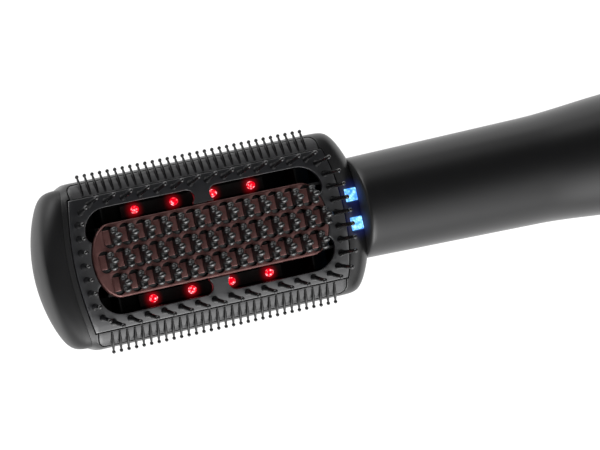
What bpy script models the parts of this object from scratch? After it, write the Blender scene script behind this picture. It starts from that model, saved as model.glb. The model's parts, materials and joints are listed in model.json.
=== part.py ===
"""Hot air brush: a paddle head with a heated plate, on a round handle that holds the heater and fan.

Metres. Every piece is modelled about the brush's own axis: x runs from the head to the cord end
with 0 at the middle of the head, y runs across the head, and z points out of the bristle face.
The empty brush_axis carries all of it, so that the brush lies on its back on the plane z = 0.
"""
import bpy
import bmesh
from math import atan2, cos, hypot, pi, radians, sin, sqrt
from mathutils import Matrix, Vector

# Handle tube
NECK_RADIUS = 0.0218
NECK_TAPER = 0.0196
GRIP_RADIUS = 0.0270
TAIL_RADIUS = 0.0252
HANDLE_WALL = 0.0022
HANDLE_LENGTH = 0.1913
NECK_OVERLAP = 0.0038
FOOT_EDGE = 0.0016
SWELL_SETBACK = 0.0848
GRIP_SETBACK = 0.0540

# Head: its flat back and the grip's widest ring lie on one plane
HEAD_HALF_WIDTH = 0.0350
FRONT_HEIGHT = 0.0134
BACK_DEPTH = GRIP_RADIUS
FRONT_POWER = 3.5
BACK_POWER = 2.5
HEAD_WALL = 0.0022
SHOULDER_REACH = 0.0745
SHOULDER_RADIUS = HEAD_HALF_WIDTH + 0.0283
SHOULDER_CENTRE = SHOULDER_REACH - SHOULDER_RADIUS
TIP_REACH = 0.0732
TIP_RADIUS = HEAD_HALF_WIDTH + 0.0321
TIP_CENTRE = TIP_RADIUS - TIP_REACH
TIP_FACE = 0.0001
CAP_STEP = 0.0016
CAP_STEP_REACH = 0.0035
CAP_JOIN_OFFSET = 0.0027
CAP_DROOP = 0.0030
CAP_DROOP_REACH = 0.0160
HEAD_END = 0.0725
REST_FLAT_RISE = 0.0006
FRONT_ROLL_HEIGHT = 0.0150
BACK_ROLL_HEIGHT = 0.0285
SHOULDER_ROLL_FRONT = 0.0170
SHOULDER_ROLL_BACK = 0.0220
TIP_ROLL_FRONT = 0.0045
TIP_ROLL_BACK = 0.0219
SIDE_SHARPNESS = 14
END_SHARPNESS = 50

# Comb strips, set in from the head's sides, and the front panel between them
STRIP_MARGIN = 0.0013
STRIP_WIDTH = 0.0059
STRIP_OUTER = HEAD_HALF_WIDTH - STRIP_MARGIN
STRIP_SETBACK = 0.0011
STRIP_CORNER = 0.0030
PANEL_HALF_LENGTH = 0.0604
PANEL_HALF_WIDTH = STRIP_OUTER - STRIP_WIDTH
PANEL_BOW = 0.0035
STRIP_HALF_LENGTH = PANEL_HALF_LENGTH - PANEL_BOW - STRIP_SETBACK
CUT_LOW = 0.0030
CUT_HIGH = 0.0200

# Comb teeth
TOOTH_COUNT = 31
TOOTH_END_MARGIN = 0.00564
TOOTH_PITCH = 2 * (STRIP_HALF_LENGTH - TOOTH_END_MARGIN) / (TOOTH_COUNT - 1)
TOOTH_ROOT_Y = PANEL_HALF_WIDTH + 0.0008
TOOTH_TIP_Y = HEAD_HALF_WIDTH + 0.0019
TOOTH_TIP_Z = 0.0080
TOOTH_RADIUS = 0.00076
TOOTH_NECK = 0.00046
TOOTH_BALL = 0.00080
TOOTH_SINK = 0.0003

# Ring pins
PIN_LENGTH = 0.0135
PIN_BASE_RADIUS = 0.00150
PIN_TIP_RADIUS = 0.00080
PIN_BALL_RADIUS = 0.00095
PIN_ROW_SPLAY = 0.0020
PIN_COLUMN_SPLAY = 0.0017
PIN_SINK = 0.0010
PIN_ROW_Y = PANEL_HALF_WIDTH - 0.0031
PIN_ROW_PITCH = 0.00750
PIN_ROW_COUNT = 14
PIN_COLUMN_X = PANEL_HALF_LENGTH - 0.0036
PIN_COLUMN_PITCH = 0.0057
PIN_COLUMN_COUNT = 7
PIN_CORNER = (PANEL_HALF_LENGTH - 0.0074, PANEL_HALF_WIDTH - 0.0056)

# Heated plate and centre bristles
PLATE_HALF_LENGTH = 0.0525
PLATE_HALF_WIDTH = 0.0155
PLATE_END_LENGTH = 0.0097
PLATE_TOP = FRONT_HEIGHT + 0.0011
PLATE_THICKNESS = 0.0016
OPENING_PITCH = 0.00745
OPENING_ROW_Y = 0.0097
OPENING_COUNTS = (13, 14, 13)
OPENING_LENGTH = 0.0066
OPENING_WIDTH = 0.0091
TONGUE_WIDTH = 0.0056
TONGUE_LENGTH = 0.0029
NUB_THICKNESS = 0.0019
NUB_OFFSET = 0.0015
NUB_HEIGHT = 0.0065
NUB_WIDTH = 0.0058
LOW_HUMP_DROP = 0.0020
NUB_DIP = 0.0006
NUB_EDGE = 0.0014
SLAB_THICKNESS = 0.0020
SLAB_MARGIN = 0.0009

# Slots in the panel along both sides of the plate
SLOT_WIDTH = 0.0068
SLOT_RIB = 0.0070
SLOT_END_ANGLE = radians(44)

# Lamps, under the middle of the slots
LAMP_PITCH = 0.01754
LAMP_COUNT = 4
LAMP_Y = PLATE_HALF_WIDTH + SLOT_WIDTH / 2
LAMP_RADIUS = 0.0016
LAMP_HEIGHT = 0.0034
LAMP_BOARD_TOP = 0.0
LAMP_BOARD_WIDTH = 0.0050
LAMP_BOARD_THICKNESS = 0.0010
LAMP_END_MARGIN = 0.0060
TRAY_WALL = 0.0008
TRAY_TOP = FRONT_HEIGHT - 0.0038
TRAY_HALF_LENGTH = PLATE_HALF_LENGTH - 0.0085

# Air guide inside the head
GUIDE_FLOOR = -0.0065
GUIDE_WALL = 0.0012
GUIDE_START = 0.0045 - PLATE_HALF_LENGTH
GUIDE_END = PLATE_HALF_LENGTH + 0.0015
GUIDE_HALF_WIDTH = PLATE_HALF_WIDTH - 0.0011
POST_RADIUS = 0.0026
POST_X = 0.0340
POST_Y = 0.0090

# Ion windows, their board and needles, and the generator
ION_WINDOW = 0.0055
ION_X = HEAD_END - 0.0070
ION_Y = 0.0062
ION_DEPTH = 0.0060
ION_BOX = (0.0260, 0.0170, 0.0055)
ION_BOX_X = 0.0080
ION_BOARD_SETBACK = 0.0040
ION_BOARD_LENGTH = 0.0080
ION_BOARD_WIDTH = 0.0190
ION_BOARD_THICKNESS = 0.0012
NEEDLE_BORE = 0.0013
NEEDLE_RADIUS = 0.0006
NEEDLE_LENGTH = 0.0036

# Stations along the handle
HANDLE_START = HEAD_END - NECK_OVERLAP
HANDLE_END = HANDLE_START + HANDLE_LENGTH
SWELL_START = HANDLE_START + SWELL_SETBACK
SWELL_END = HANDLE_END - GRIP_SETBACK
CAP_LENGTH = 0.0155
CAP_END = HANDLE_END + CAP_LENGTH
CAP_FACE_RADIUS = 0.0165

# Neck coupler and the mouth that the air enters the head by
COUPLER_WALL = 0.0018
COUPLER_LENGTH = 0.0190
AIR_MOUTH = (0.0135, 0.0090)
AIR_MOUTH_Z = -0.0030

# Heater
HEATER_START = HEAD_END + COUPLER_LENGTH + 0.0045
HEATER_LENGTH = HANDLE_LENGTH - 0.1273
HEATER_TUBE_WALL = 0.0008
MICA_THICKNESS = 0.0008
MICA_LENGTH = HEATER_LENGTH - 0.0060
MICA_HALF_WIDTH = 0.0130
MICA_END_LENGTH = 0.0060
COIL_TURNS = 7
COIL_WIRE_RADIUS = 0.0005
COIL_LENGTH = MICA_LENGTH - 0.0180
THERMOSTAT_SIZE = (0.0080, 0.0060, 0.0060)
FUSE_RADIUS = 0.0014
FUSE_LENGTH = 0.0110
THERMOSTAT_FORWARD = 0.0090
FUSE_FORWARD = 0.0120

# Fan
HOLDER_START = HEATER_START + HEATER_LENGTH + 0.0120
HOLDER_LENGTH = 0.0480
HOLDER_WALL = 0.0012
MOTOR_RADIUS = 0.0125
MOTOR_LENGTH = 0.0240
MOTOR_START = HOLDER_START + 0.0060
MOTOR_EDGE = 0.0015
SLEEVE_WALL = 0.0012
VANE_COUNT = 5
VANE_THICKNESS = 0.0014
SHAFT_RADIUS = 0.0010
HUB_START = MOTOR_START + MOTOR_LENGTH + 0.0040
HUB_RADIUS = 0.0075
HUB_LENGTH = 0.0100
HUB_EDGE = 0.0020
BLADE_COUNT = 7
BLADE_TIP_GAP = 0.0012
BLADE_THICKNESS = 0.0010
BLADE_CHORD = 0.0105
BLADE_ANGLE = radians(38)
SHAFT_OVERHANG = 0.0030

# Controls
CONTROL_X = HANDLE_END - 0.0220
CONTROL_LENGTH = 0.0350
CONTROL_WIDTH = 0.0130
CONTROL_CORNER = 0.9
BOSS_RADIUS = 0.0014
BOSS_OFFSET = 0.0158
BUTTON_RADIUS = 0.0038
BUTTON_FLANGE = 0.0008
BUTTON_PROUD = 0.0012
BUTTON_EDGE = 0.0005
BUTTON_STEM = 0.0014
BUTTON_TRAVEL = 0.0008
BUTTON_OFFSET = 0.0095
SLIDER_TRAVEL = 0.0040
SLIDER_KNOB = (0.0042, 0.0060, 0.0020)
SLIDER_STEM = (0.0024, 0.0024)
SLIDER_BASE_WIDTH = 0.0040
SLIDER_BASE_THICKNESS = 0.0010
SLIDE_SWITCH = (0.0084, 0.0050)
BOARD_SIZE = (0.0335, 0.0180, 0.0014)
BOARD_DEPTH = 0.0094
SWITCH_SIDE = 0.0056
SWITCH_HEIGHT = 0.0030

# Rear cap, filter screen and cord gland
CAP_SLOTS = 12
CAP_SLOT_WIDTH = 0.0018
CAP_SLOT_LENGTH = 0.0090
CAP_SLOT_DEPTH = 0.0200
CAP_WALL = 0.0020
SCREEN_THICKNESS = 0.0010
SCREEN_WINDOW = 0.0022
SCREEN_RIM = 0.0020
SCREEN_START = HANDLE_END - 0.0034
GLAND_RADIUS = 0.0062
GLAND_BORE = 0.0031
GLAND_FLANGE = 0.0022
GLAND_PROUD = 0.0035
GLAND_COLLAR = 0.0012
GLAND_EDGE = 0.0009
CLAMP_SIZE = (0.0050, 0.0110, 0.0045)
CLAMP_X = HANDLE_END - 0.0120

# Fits
GAP = 0.0003
SEAM = GAP / 2
MERGE = 0.00001
FLAT_ANGLE = radians(0.2)

# Cutters reach at least this far past what they cut
CUT_REACH = 0.0100

# How finely round forms are divided
RING_POINTS = 28
INNER_POINTS = 20
ROUND_STEPS = 28
SMALL_STEPS = 16
PIN_SIDES = 5
TOOTH_SIDES = 4
COIL_SIDES = 8
JOIN_STEPS = 160

NOMINAL_TIP = -TIP_REACH

for old in list(bpy.data.objects):
    bpy.data.objects.remove(old, do_unlink=True)

parts = bpy.data.collections.new("hot_air_brush")
cutters = bpy.data.collections.new("cutters")
bpy.context.scene.collection.children.link(parts)
bpy.context.scene.collection.children.link(cutters)

brush_axis = bpy.data.objects.new("brush_axis", None)
brush_axis.location = (-(NOMINAL_TIP + TIP_FACE + CAP_END + GLAND_PROUD) / 2, 0, BACK_DEPTH)
parts.objects.link(brush_axis)


# Materials
def make_material(name, colour, roughness, metallic=0.0):
    material = bpy.data.materials.new(name)
    material.use_nodes = True
    shader = material.node_tree.nodes["Principled BSDF"]
    shader.inputs["Base Color"].default_value = (*colour, 1.0)
    shader.inputs["Roughness"].default_value = roughness
    shader.inputs["Metallic"].default_value = metallic
    material.diffuse_color = (*colour, 1.0)
    return material


soft_black = make_material("soft_black", (0.030, 0.030, 0.032), 0.45)
panel_grey = make_material("panel_grey", (0.045, 0.047, 0.058), 0.40)
comb_black = make_material("comb_black", (0.020, 0.020, 0.022), 0.35)
rose_brown = make_material("rose_brown", (0.260, 0.110, 0.095), 0.35, 0.6)
gloss_black = make_material("gloss_black", (0.010, 0.010, 0.011), 0.12)
lamp_red = make_material("lamp_red", (0.800, 0.020, 0.030), 0.20)
ion_blue = make_material("ion_blue", (0.100, 0.400, 1.000), 0.10)
board_green = make_material("board_green", (0.020, 0.120, 0.050), 0.50)
moulded_black = make_material("moulded_black", (0.025, 0.025, 0.025), 0.55)
mica_tan = make_material("mica_tan", (0.550, 0.470, 0.330), 0.60)
wire_steel = make_material("wire_steel", (0.560, 0.570, 0.580), 0.30, 1.0)
brass_part = make_material("brass_part", (0.750, 0.580, 0.280), 0.30, 1.0)
white_moulding = make_material("white_moulding", (0.700, 0.700, 0.680), 0.50)


# Making objects
def place(name, mesh, material=None, at=(0, 0, 0), turn=None, guide=False):
    """Link a mesh as a piece, or as a cutter when guide is set, carried by the brush's axis."""
    item = bpy.data.objects.new(name, mesh)
    item.parent = brush_axis
    item.location = at
    if turn:
        item.rotation_euler = turn
    if guide:
        cutters.objects.link(item)
        item.hide_render = True
        item.display_type = 'WIRE'
        return item
    parts.objects.link(item)
    mesh.materials.clear()
    mesh.materials.append(material)
    return item


def evaluated_mesh(item):
    """The mesh that an object's modifiers or curve settings give."""
    graph = bpy.context.evaluated_depsgraph_get()
    return bpy.data.meshes.new_from_object(item.evaluated_get(graph))


def mesh_from(build):
    """A mesh filled by build, which gets an empty bmesh."""
    work = bmesh.new()
    build(work)
    bmesh.ops.recalc_face_normals(work, faces=work.faces)
    mesh = bpy.data.meshes.new("piece")
    work.to_mesh(mesh)
    work.free()
    return mesh


def box_mesh(size):
    def build(work):
        bmesh.ops.create_cube(work, size=1.0, matrix=Matrix.Diagonal((*size, 1.0)))
    return mesh_from(build)


def rod_mesh(radius, length, steps=ROUND_STEPS, end_radius=None):
    """A cylinder or cone along x, centred on its own origin."""
    def build(work):
        bmesh.ops.create_cone(work, cap_ends=True, segments=steps, radius1=radius,
                              radius2=radius if end_radius is None else end_radius,
                              depth=length, matrix=Matrix.Rotation(pi / 2, 4, 'Y'))
    return mesh_from(build)


def post_mesh(radius, length, steps=ROUND_STEPS):
    """A cylinder along z, centred on its own origin."""
    def build(work):
        bmesh.ops.create_cone(work, cap_ends=True, segments=steps, radius1=radius,
                              radius2=radius, depth=length)
    return mesh_from(build)


def loft_mesh(rings):
    """A closed solid through rings of equal point counts."""
    def build(work):
        loops = [[work.verts.new(point) for point in ring] for ring in rings]
        for near, far in zip(loops, loops[1:]):
            for i, corner in enumerate(near):
                j = (i + 1) % len(near)
                work.faces.new((corner, near[j], far[j], far[i]))
        work.faces.new(list(reversed(loops[0])))
        work.faces.new(loops[-1])
    return mesh_from(build)


def flat_mesh(outlines, thickness):
    """A flat solid from closed outlines in the xy plane, centred on z = 0; inner ones are holes."""
    curve = bpy.data.curves.new("outline", 'CURVE')
    curve.dimensions = '2D'
    curve.fill_mode = 'BOTH'
    curve.extrude = thickness / 2
    for outline in outlines:
        spline = curve.splines.new('POLY')
        spline.points.add(len(outline) - 1)
        for point, (x, y) in zip(spline.points, outline):
            point.co = (x, y, 0, 1)
        spline.use_cyclic_u = True
    holder = bpy.data.objects.new("outline", curve)
    cutters.objects.link(holder)
    mesh = evaluated_mesh(holder)
    bpy.data.objects.remove(holder)
    work = bmesh.new()
    work.from_mesh(mesh)
    bmesh.ops.remove_doubles(work, verts=work.verts, dist=MERGE / 2)
    bmesh.ops.dissolve_limit(work, angle_limit=FLAT_ANGLE, verts=work.verts, edges=work.edges)
    bmesh.ops.recalc_face_normals(work, faces=work.faces)
    work.to_mesh(mesh)
    work.free()
    return mesh


def turned_mesh(profile, steps=ROUND_STEPS, closed=True):
    """A solid turned about z from (radius, height) points that run down its outer side."""
    mesh = bpy.data.meshes.new("profile")
    count = len(profile)
    edges = [(i, i + 1) for i in range(count - 1)]
    if closed:
        edges.append((count - 1, 0))
    mesh.from_pydata([(radius, 0, height) for radius, height in profile], edges, [])
    holder = bpy.data.objects.new("profile", mesh)
    cutters.objects.link(holder)
    screw = holder.modifiers.new("turn", 'SCREW')
    screw.axis = 'Z'
    screw.steps = steps
    screw.render_steps = steps
    screw.use_merge_vertices = True
    screw.merge_threshold = MERGE
    turned = evaluated_mesh(holder)
    bpy.data.objects.remove(holder)
    return turned


def along_axis(profile):
    """Profile points given as (x, radius) from low x to high x, as turned_mesh wants them.

    The turned solid stands on z, so it is laid along +x with AXIS_TURN: its top faces +x.
    """
    return [(radius, x) for x, radius in reversed(profile)]


AXIS_TURN = (0, pi / 2, 0)


def joined_mesh(mesh, placements):
    """Copies of one mesh at several placements, in one mesh."""
    work = bmesh.new()
    for placement in placements:
        copy = mesh.copy()
        copy.transform(placement)
        work.from_mesh(copy)
        bpy.data.meshes.remove(copy)
    result = bpy.data.meshes.new("copies")
    work.to_mesh(result)
    work.free()
    return result


def around_axis(count, shift=0.0):
    """Placements that repeat a mesh evenly round the brush's axis."""
    return [Matrix.Rotation(2 * pi * (i + shift) / count, 4, 'X') for i in range(count)]


def combine(item, other, operation):
    step = item.modifiers.new(operation.lower(), 'BOOLEAN')
    step.operation = operation
    step.object = other
    step.solver = 'EXACT'
    return step


def round_shading(item, angle=radians(40)):
    item.data.shade_smooth()
    item.data.set_sharp_from_angle(angle=angle)


# Head form
def smooth_step(low, high, value):
    t = min(max((value - low) / (high - low), 0), 1)
    return t * t * (3 - 2 * t)


def end_inset(z, inward, height):
    """How far an end wall leans in at height z: an elliptic roll of the given reach."""
    share = min(abs(z) / height, 0.995)
    return inward * (1 - sqrt(1 - share * share))


def head_measure(x, y, z, inset, stepped):
    """Below 1 inside the head, above 1 outside it."""
    join = hypot(BOW_CENTRE - x, y)
    step = stepped * CAP_STEP * smooth_step(CAP_JOIN_RADIUS - CAP_STEP_REACH, CAP_JOIN_RADIUS, join)
    fall = CAP_DROOP * smooth_step(CAP_JOIN_RADIUS, CAP_JOIN_RADIUS + CAP_DROOP_REACH, join)
    width = HEAD_HALF_WIDTH - inset - step
    if z >= 0:
        height = FRONT_HEIGHT - inset - 0.4 * step - fall
        power = FRONT_POWER
        shoulder = end_inset(z, SHOULDER_ROLL_FRONT, FRONT_ROLL_HEIGHT)
        tip = end_inset(z, TIP_ROLL_FRONT, FRONT_ROLL_HEIGHT)
    else:
        height = BACK_DEPTH + REST_FLAT_RISE - inset - 0.6 * step
        power = BACK_POWER
        shoulder = end_inset(z, SHOULDER_ROLL_BACK, BACK_ROLL_HEIGHT)
        tip = end_inset(z, TIP_ROLL_BACK, BACK_ROLL_HEIGHT)
    section = ((abs(y) / width) ** power + (abs(z) / height) ** power) ** (1 / power)
    value = section ** SIDE_SHARPNESS
    if x > SHOULDER_CENTRE:
        reach = SHOULDER_RADIUS - inset - shoulder
        value += (hypot(x - SHOULDER_CENTRE, y) / reach) ** END_SHARPNESS
    if x < TIP_CENTRE:
        reach = TIP_RADIUS - inset - tip
        value += (hypot(x - TIP_CENTRE, y) / reach) ** END_SHARPNESS
    return value ** (1 / SIDE_SHARPNESS)


def head_ring(x, inset, stepped, count):
    """The head's section at x, as points found along rays from the axis."""
    ring = []
    floor = -(BACK_DEPTH - inset)
    for k in range(count):
        angle = 2 * pi * (k + 0.5) / count
        power = FRONT_POWER if sin(angle) >= 0 else BACK_POWER
        height = FRONT_HEIGHT if sin(angle) >= 0 else BACK_DEPTH
        across = HEAD_HALF_WIDTH * abs(cos(angle)) ** (2 / power)
        upward = height * abs(sin(angle)) ** (2 / power)
        if cos(angle) < 0:
            across = -across
        if sin(angle) < 0:
            upward = -upward
        low = 0.0
        high = 1.3
        for _ in range(30):
            middle = (low + high) / 2
            if head_measure(x, middle * across, middle * upward, inset, stepped) < 1:
                low = middle
            else:
                high = middle
        ring.append((x, low * across, max(low * upward, floor)))
    return ring


def head_mesh(inset, stations, stepped=1, count=RING_POINTS):
    return loft_mesh([head_ring(x, inset, stepped, count) for x in stations])


BOW_RADIUS = ((PANEL_HALF_WIDTH ** 2 + PANEL_BOW ** 2) / (2 * PANEL_BOW))
BOW_CENTRE = BOW_RADIUS - PANEL_HALF_LENGTH
CAP_JOIN_RADIUS = BOW_RADIUS + CAP_JOIN_OFFSET

CAP_STEP_END = BOW_CENTRE - CAP_JOIN_RADIUS + 0.0013
TIP_STATIONS = [NOMINAL_TIP + d for d in (TIP_FACE, 0.0009, 0.0028, 0.0056, 0.0088, 0.0103)]
STEP_STATIONS = [CAP_STEP_END + d for d in (0.0, 0.0016, 0.0032, 0.0051, 0.0069, 0.0088)]
SHOULDER_STATIONS = [HEAD_END - d for d in (0.0175, 0.0115, 0.0086, 0.0063, 0.0035, 0.0)]
OUTER_STATIONS = TIP_STATIONS + STEP_STATIONS + SHOULDER_STATIONS
INNER_STATIONS = ([NOMINAL_TIP + HEAD_WALL + d for d in (0.0001, 0.0020, 0.0070)]
                  + [CAP_STEP_END + 0.0118]
                  + [HEAD_END - d for d in (0.0225, 0.0115, 0.0065, HEAD_WALL)])

head_outer = head_mesh(0.0, OUTER_STATIONS)
head_inner = head_mesh(HEAD_WALL, INNER_STATIONS, stepped=0, count=INNER_POINTS)


def head_cavity():
    return place("head_cavity", head_inner.copy(), guide=True)


cavity = head_cavity()


# Outlines in plan
def arc_points(centre, radius, start, end, count):
    return [(centre[0] + radius * cos(start + (end - start) * i / count),
             centre[1] + radius * sin(start + (end - start) * i / count)) for i in range(count + 1)]


def panel_outline(grow=0.0):
    """The panel's rectangle with bowed short sides."""
    half = PANEL_HALF_WIDTH + grow
    radius = BOW_RADIUS + grow
    swing = atan2(half, sqrt(radius * radius - half * half))
    right = arc_points((-BOW_CENTRE, 0), radius, -swing, swing, 12)
    left = arc_points((BOW_CENTRE, 0), radius, pi - swing, pi + swing, 12)
    return right + left


def rounded_box(half_long, half_wide, corner, steps=5):
    points = []
    for quarter, (sx, sy) in enumerate(((1, 1), (-1, 1), (-1, -1), (1, -1))):
        centre = (sx * (half_long - corner), sy * (half_wide - corner))
        points += arc_points(centre, corner, quarter * pi / 2, (quarter + 1) * pi / 2, steps)
    return points


def plate_edge(angle, offset=0.0):
    """A point on the plate's end curve, pushed out by offset; angle 0 is where it turns straight."""
    x = PLATE_END_LENGTH * sin(angle)
    y = PLATE_HALF_WIDTH * cos(angle)
    normal = Vector((sin(angle) / PLATE_END_LENGTH, cos(angle) / PLATE_HALF_WIDTH)).normalized()
    start = PLATE_HALF_LENGTH - PLATE_END_LENGTH
    return (start + x + offset * normal.x, y + offset * normal.y)


def plate_outline(offset=0.0, steps=8):
    quarter = [plate_edge(pi / 2 * i / steps, offset) for i in range(steps + 1)]
    right = [(x, -y) for x, y in quarter] + [(x, y) for x, y in reversed(quarter[:-1])]
    return right + [(-x, -y) for x, y in right]


def slot_outline():
    """One slot: a band along the plate's edge with round ends, from the middle rib to the plate's end."""
    half = SLOT_WIDTH / 2
    start = SLOT_RIB / 2 + half
    steps = 6
    angles = [SLOT_END_ANGLE * i / steps for i in range(steps + 1)]
    outer = [plate_edge(angle, SLOT_WIDTH) for angle in angles]
    inner = [plate_edge(angle, 0.0) for angle in angles]
    tip = plate_edge(SLOT_END_ANGLE, half)
    heading = atan2(outer[-1][1] - tip[1], outer[-1][0] - tip[0])
    cap = arc_points(tip, half, heading, heading - pi, 6)[1:-1]
    near = arc_points((start, PLATE_HALF_WIDTH + half), half, -pi / 2, -3 * pi / 2, 6)
    return outer + cap + list(reversed(inner)) + near


def mirrored(outline, flip_x, flip_y):
    points = [(x * flip_x, y * flip_y) for x, y in outline]
    return list(reversed(points)) if flip_x * flip_y < 0 else points


def prism(name, outline, low, high):
    """A cutter that stands on an outline between two heights."""
    return place(name, flat_mesh([outline], high - low), at=(0, 0, (low + high) / 2), guide=True)


# Head shell, end cap, front panel and comb strips, all cut from one skin
panel_block = prism("panel_block", panel_outline(), CUT_LOW, CUT_HIGH)
join_height = 2 * (BACK_DEPTH + CUT_REACH)
join_solid = place("join_solid", post_mesh(CAP_JOIN_RADIUS + SEAM, join_height, JOIN_STEPS),
                   at=(BOW_CENTRE, 0, 0), guide=True)
join_inside = place("join_inside", post_mesh(CAP_JOIN_RADIUS - SEAM, join_height, JOIN_STEPS),
                    at=(BOW_CENTRE, 0, 0), guide=True)


def strip_block(name, side, grow):
    """The strip's outline: its inner edge follows the panel, its outer corners are round."""
    inner = PANEL_HALF_WIDTH + GAP - grow
    middle = (inner + STRIP_OUTER + grow) / 2
    half = (STRIP_OUTER + grow - inner) / 2
    corner = STRIP_CORNER + grow
    long = STRIP_HALF_LENGTH + grow
    outline = [(-long, -half), (long, -half)]
    outline += arc_points((long - corner, half - corner), corner, 0, pi / 2, 5)
    outline += arc_points((corner - long, half - corner), corner, pi / 2, pi, 5)
    outline = [(x, y + middle) for x, y in outline]
    return prism(name, mirrored(outline, 1, side), CUT_LOW, CUT_HIGH)


front_hole = prism("front_hole", panel_outline(GAP), CUT_LOW, CUT_HIGH)
for side, label in ((1, "left"), (-1, "right")):
    combine(front_hole, strip_block("strip_hole_" + label, side, GAP), 'UNION')

head_shell = place("head_shell", head_outer.copy(), soft_black)
combine(head_shell, join_inside, 'INTERSECT')
combine(head_shell, cavity, 'DIFFERENCE')
combine(head_shell, front_hole, 'DIFFERENCE')

end_cap = place("end_cap", head_outer.copy(), soft_black)
combine(end_cap, join_solid, 'DIFFERENCE')
combine(end_cap, cavity, 'DIFFERENCE')

front_panel = place("front_panel", head_outer.copy(), panel_grey)
combine(front_panel, panel_block, 'INTERSECT')
combine(front_panel, cavity, 'DIFFERENCE')
plate_hole = prism("plate_hole", plate_outline(GAP), CUT_LOW, CUT_HIGH)
combine(front_panel, plate_hole, 'DIFFERENCE')
for flip_x in (1, -1):
    for flip_y in (1, -1):
        slot = prism("slot", mirrored(slot_outline(), flip_x, flip_y), CUT_LOW, CUT_HIGH)
        combine(front_panel, slot, 'DIFFERENCE')


def surface_height(x, y):
    """Height of the head's front skin above the axis at a point in plan."""
    low = 0.0
    high = FRONT_HEIGHT * 1.5
    for _ in range(30):
        middle = (low + high) / 2
        if head_measure(x, y, middle, 0.0, 1) < 1:
            low = middle
        else:
            high = middle
    return low


def pin_places():
    """Foot and outward lean of each ring pin."""
    places = []
    for i in range(PIN_ROW_COUNT):
        x = (i - (PIN_ROW_COUNT - 1) / 2) * PIN_ROW_PITCH
        for side in (1, -1):
            places.append((x, side * PIN_ROW_Y, 0, side))
    for i in range(PIN_COLUMN_COUNT):
        y = (i - (PIN_COLUMN_COUNT - 1) / 2) * PIN_COLUMN_PITCH
        bow = BOW_RADIUS - sqrt(BOW_RADIUS ** 2 - y * y)
        for side in (1, -1):
            places.append((side * (PIN_COLUMN_X - bow), y, side, 0))
    for flip_x in (1, -1):
        for flip_y in (1, -1):
            lean = sqrt(0.5)
            places.append((flip_x * PIN_CORNER[0], flip_y * PIN_CORNER[1], flip_x * lean, flip_y * lean))
    return places


def leaning(foot, tip):
    """Placement that stands a z-up mesh on foot and points it at tip."""
    direction = Vector(tip) - Vector(foot)
    return Matrix.Translation(foot) @ direction.to_track_quat('Z', 'Y').to_matrix().to_4x4()


pin = turned_mesh([(0, PIN_LENGTH), (PIN_BALL_RADIUS, PIN_LENGTH - PIN_BALL_RADIUS),
                   (PIN_TIP_RADIUS, PIN_LENGTH - 2 * PIN_BALL_RADIUS), (PIN_BASE_RADIUS, 0),
                   (0, -PIN_SINK)], PIN_SIDES, closed=False)
pin_feet = []
for x, y, lean_x, lean_y in pin_places():
    foot = (x, y, surface_height(x, y))
    tip = (x + lean_x * PIN_COLUMN_SPLAY, y + lean_y * PIN_ROW_SPLAY, foot[2] + PIN_LENGTH)
    pin_feet.append(leaning(foot, tip))
pins = place("ring_pins", joined_mesh(pin, pin_feet), guide=True)
combine(front_panel, pins, 'UNION')

tooth_run = TOOTH_TIP_Y - TOOTH_ROOT_Y
tooth_drop = surface_height(0, TOOTH_ROOT_Y) - TOOTH_SINK - TOOTH_TIP_Z
tooth_length = hypot(tooth_run, tooth_drop)
tooth = turned_mesh([(0, tooth_length + TOOTH_BALL), (TOOTH_BALL, tooth_length),
                     (TOOTH_NECK, tooth_length - TOOTH_BALL), (TOOTH_RADIUS, tooth_length * 0.35),
                     (0, -TOOTH_SINK)], TOOTH_SIDES, closed=False)
for side, label in ((1, "left"), (-1, "right")):
    strip = place("comb_strip_" + label, head_outer.copy(), comb_black)
    combine(strip, strip_block("strip_block_" + label, side, 0.0), 'INTERSECT')
    combine(strip, cavity, 'DIFFERENCE')
    roots = []
    for i in range(TOOTH_COUNT):
        x = (i - (TOOTH_COUNT - 1) / 2) * TOOTH_PITCH
        foot_z = surface_height(x, TOOTH_ROOT_Y) - TOOTH_SINK
        roots.append(leaning((x, side * TOOTH_ROOT_Y, foot_z), (x, side * TOOTH_TIP_Y, foot_z - tooth_drop)))
    teeth = place("comb_teeth_" + label, joined_mesh(tooth, roots), guide=True)
    combine(strip, teeth, 'UNION')


# Heated plate
def opening_places():
    """Centres of the plate's openings: staggered rows along the plate."""
    places = []
    for row, count in enumerate(OPENING_COUNTS):
        y = (1 - row) * OPENING_ROW_Y
        for i in range(count):
            places.append(((i - (count - 1) / 2) * OPENING_PITCH, y))
    return places


def opening_rim(angle):
    """A point on an opening's oval rim."""
    power = 2 / 2.6
    x = OPENING_LENGTH / 2 * abs(cos(angle)) ** power
    y = OPENING_WIDTH / 2 * abs(sin(angle)) ** power
    return (x if cos(angle) >= 0 else -x, y if sin(angle) >= 0 else -y)


def opening_outline(x, y):
    """An oval opening with its tongue left standing on the tip side."""
    reach = radians(142)
    rim = [opening_rim(-reach + 2 * reach * i / 7) for i in range(8)]
    edge = -OPENING_LENGTH / 2 + TONGUE_LENGTH
    half = TONGUE_WIDTH / 2
    tongue = [(edge, half), (edge, -half)]
    root = [(rim[-1][0], half), *tongue, (rim[0][0], -half)]
    return [(x + px, y + py) for px, py in rim + root]


plate_outlines = [plate_outline()] + [opening_outline(x, y) for x, y in opening_places()]
heated_plate = place("heated_plate", flat_mesh(plate_outlines, PLATE_THICKNESS), rose_brown,
                     at=(0, 0, PLATE_TOP - PLATE_THICKNESS / 2))

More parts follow.
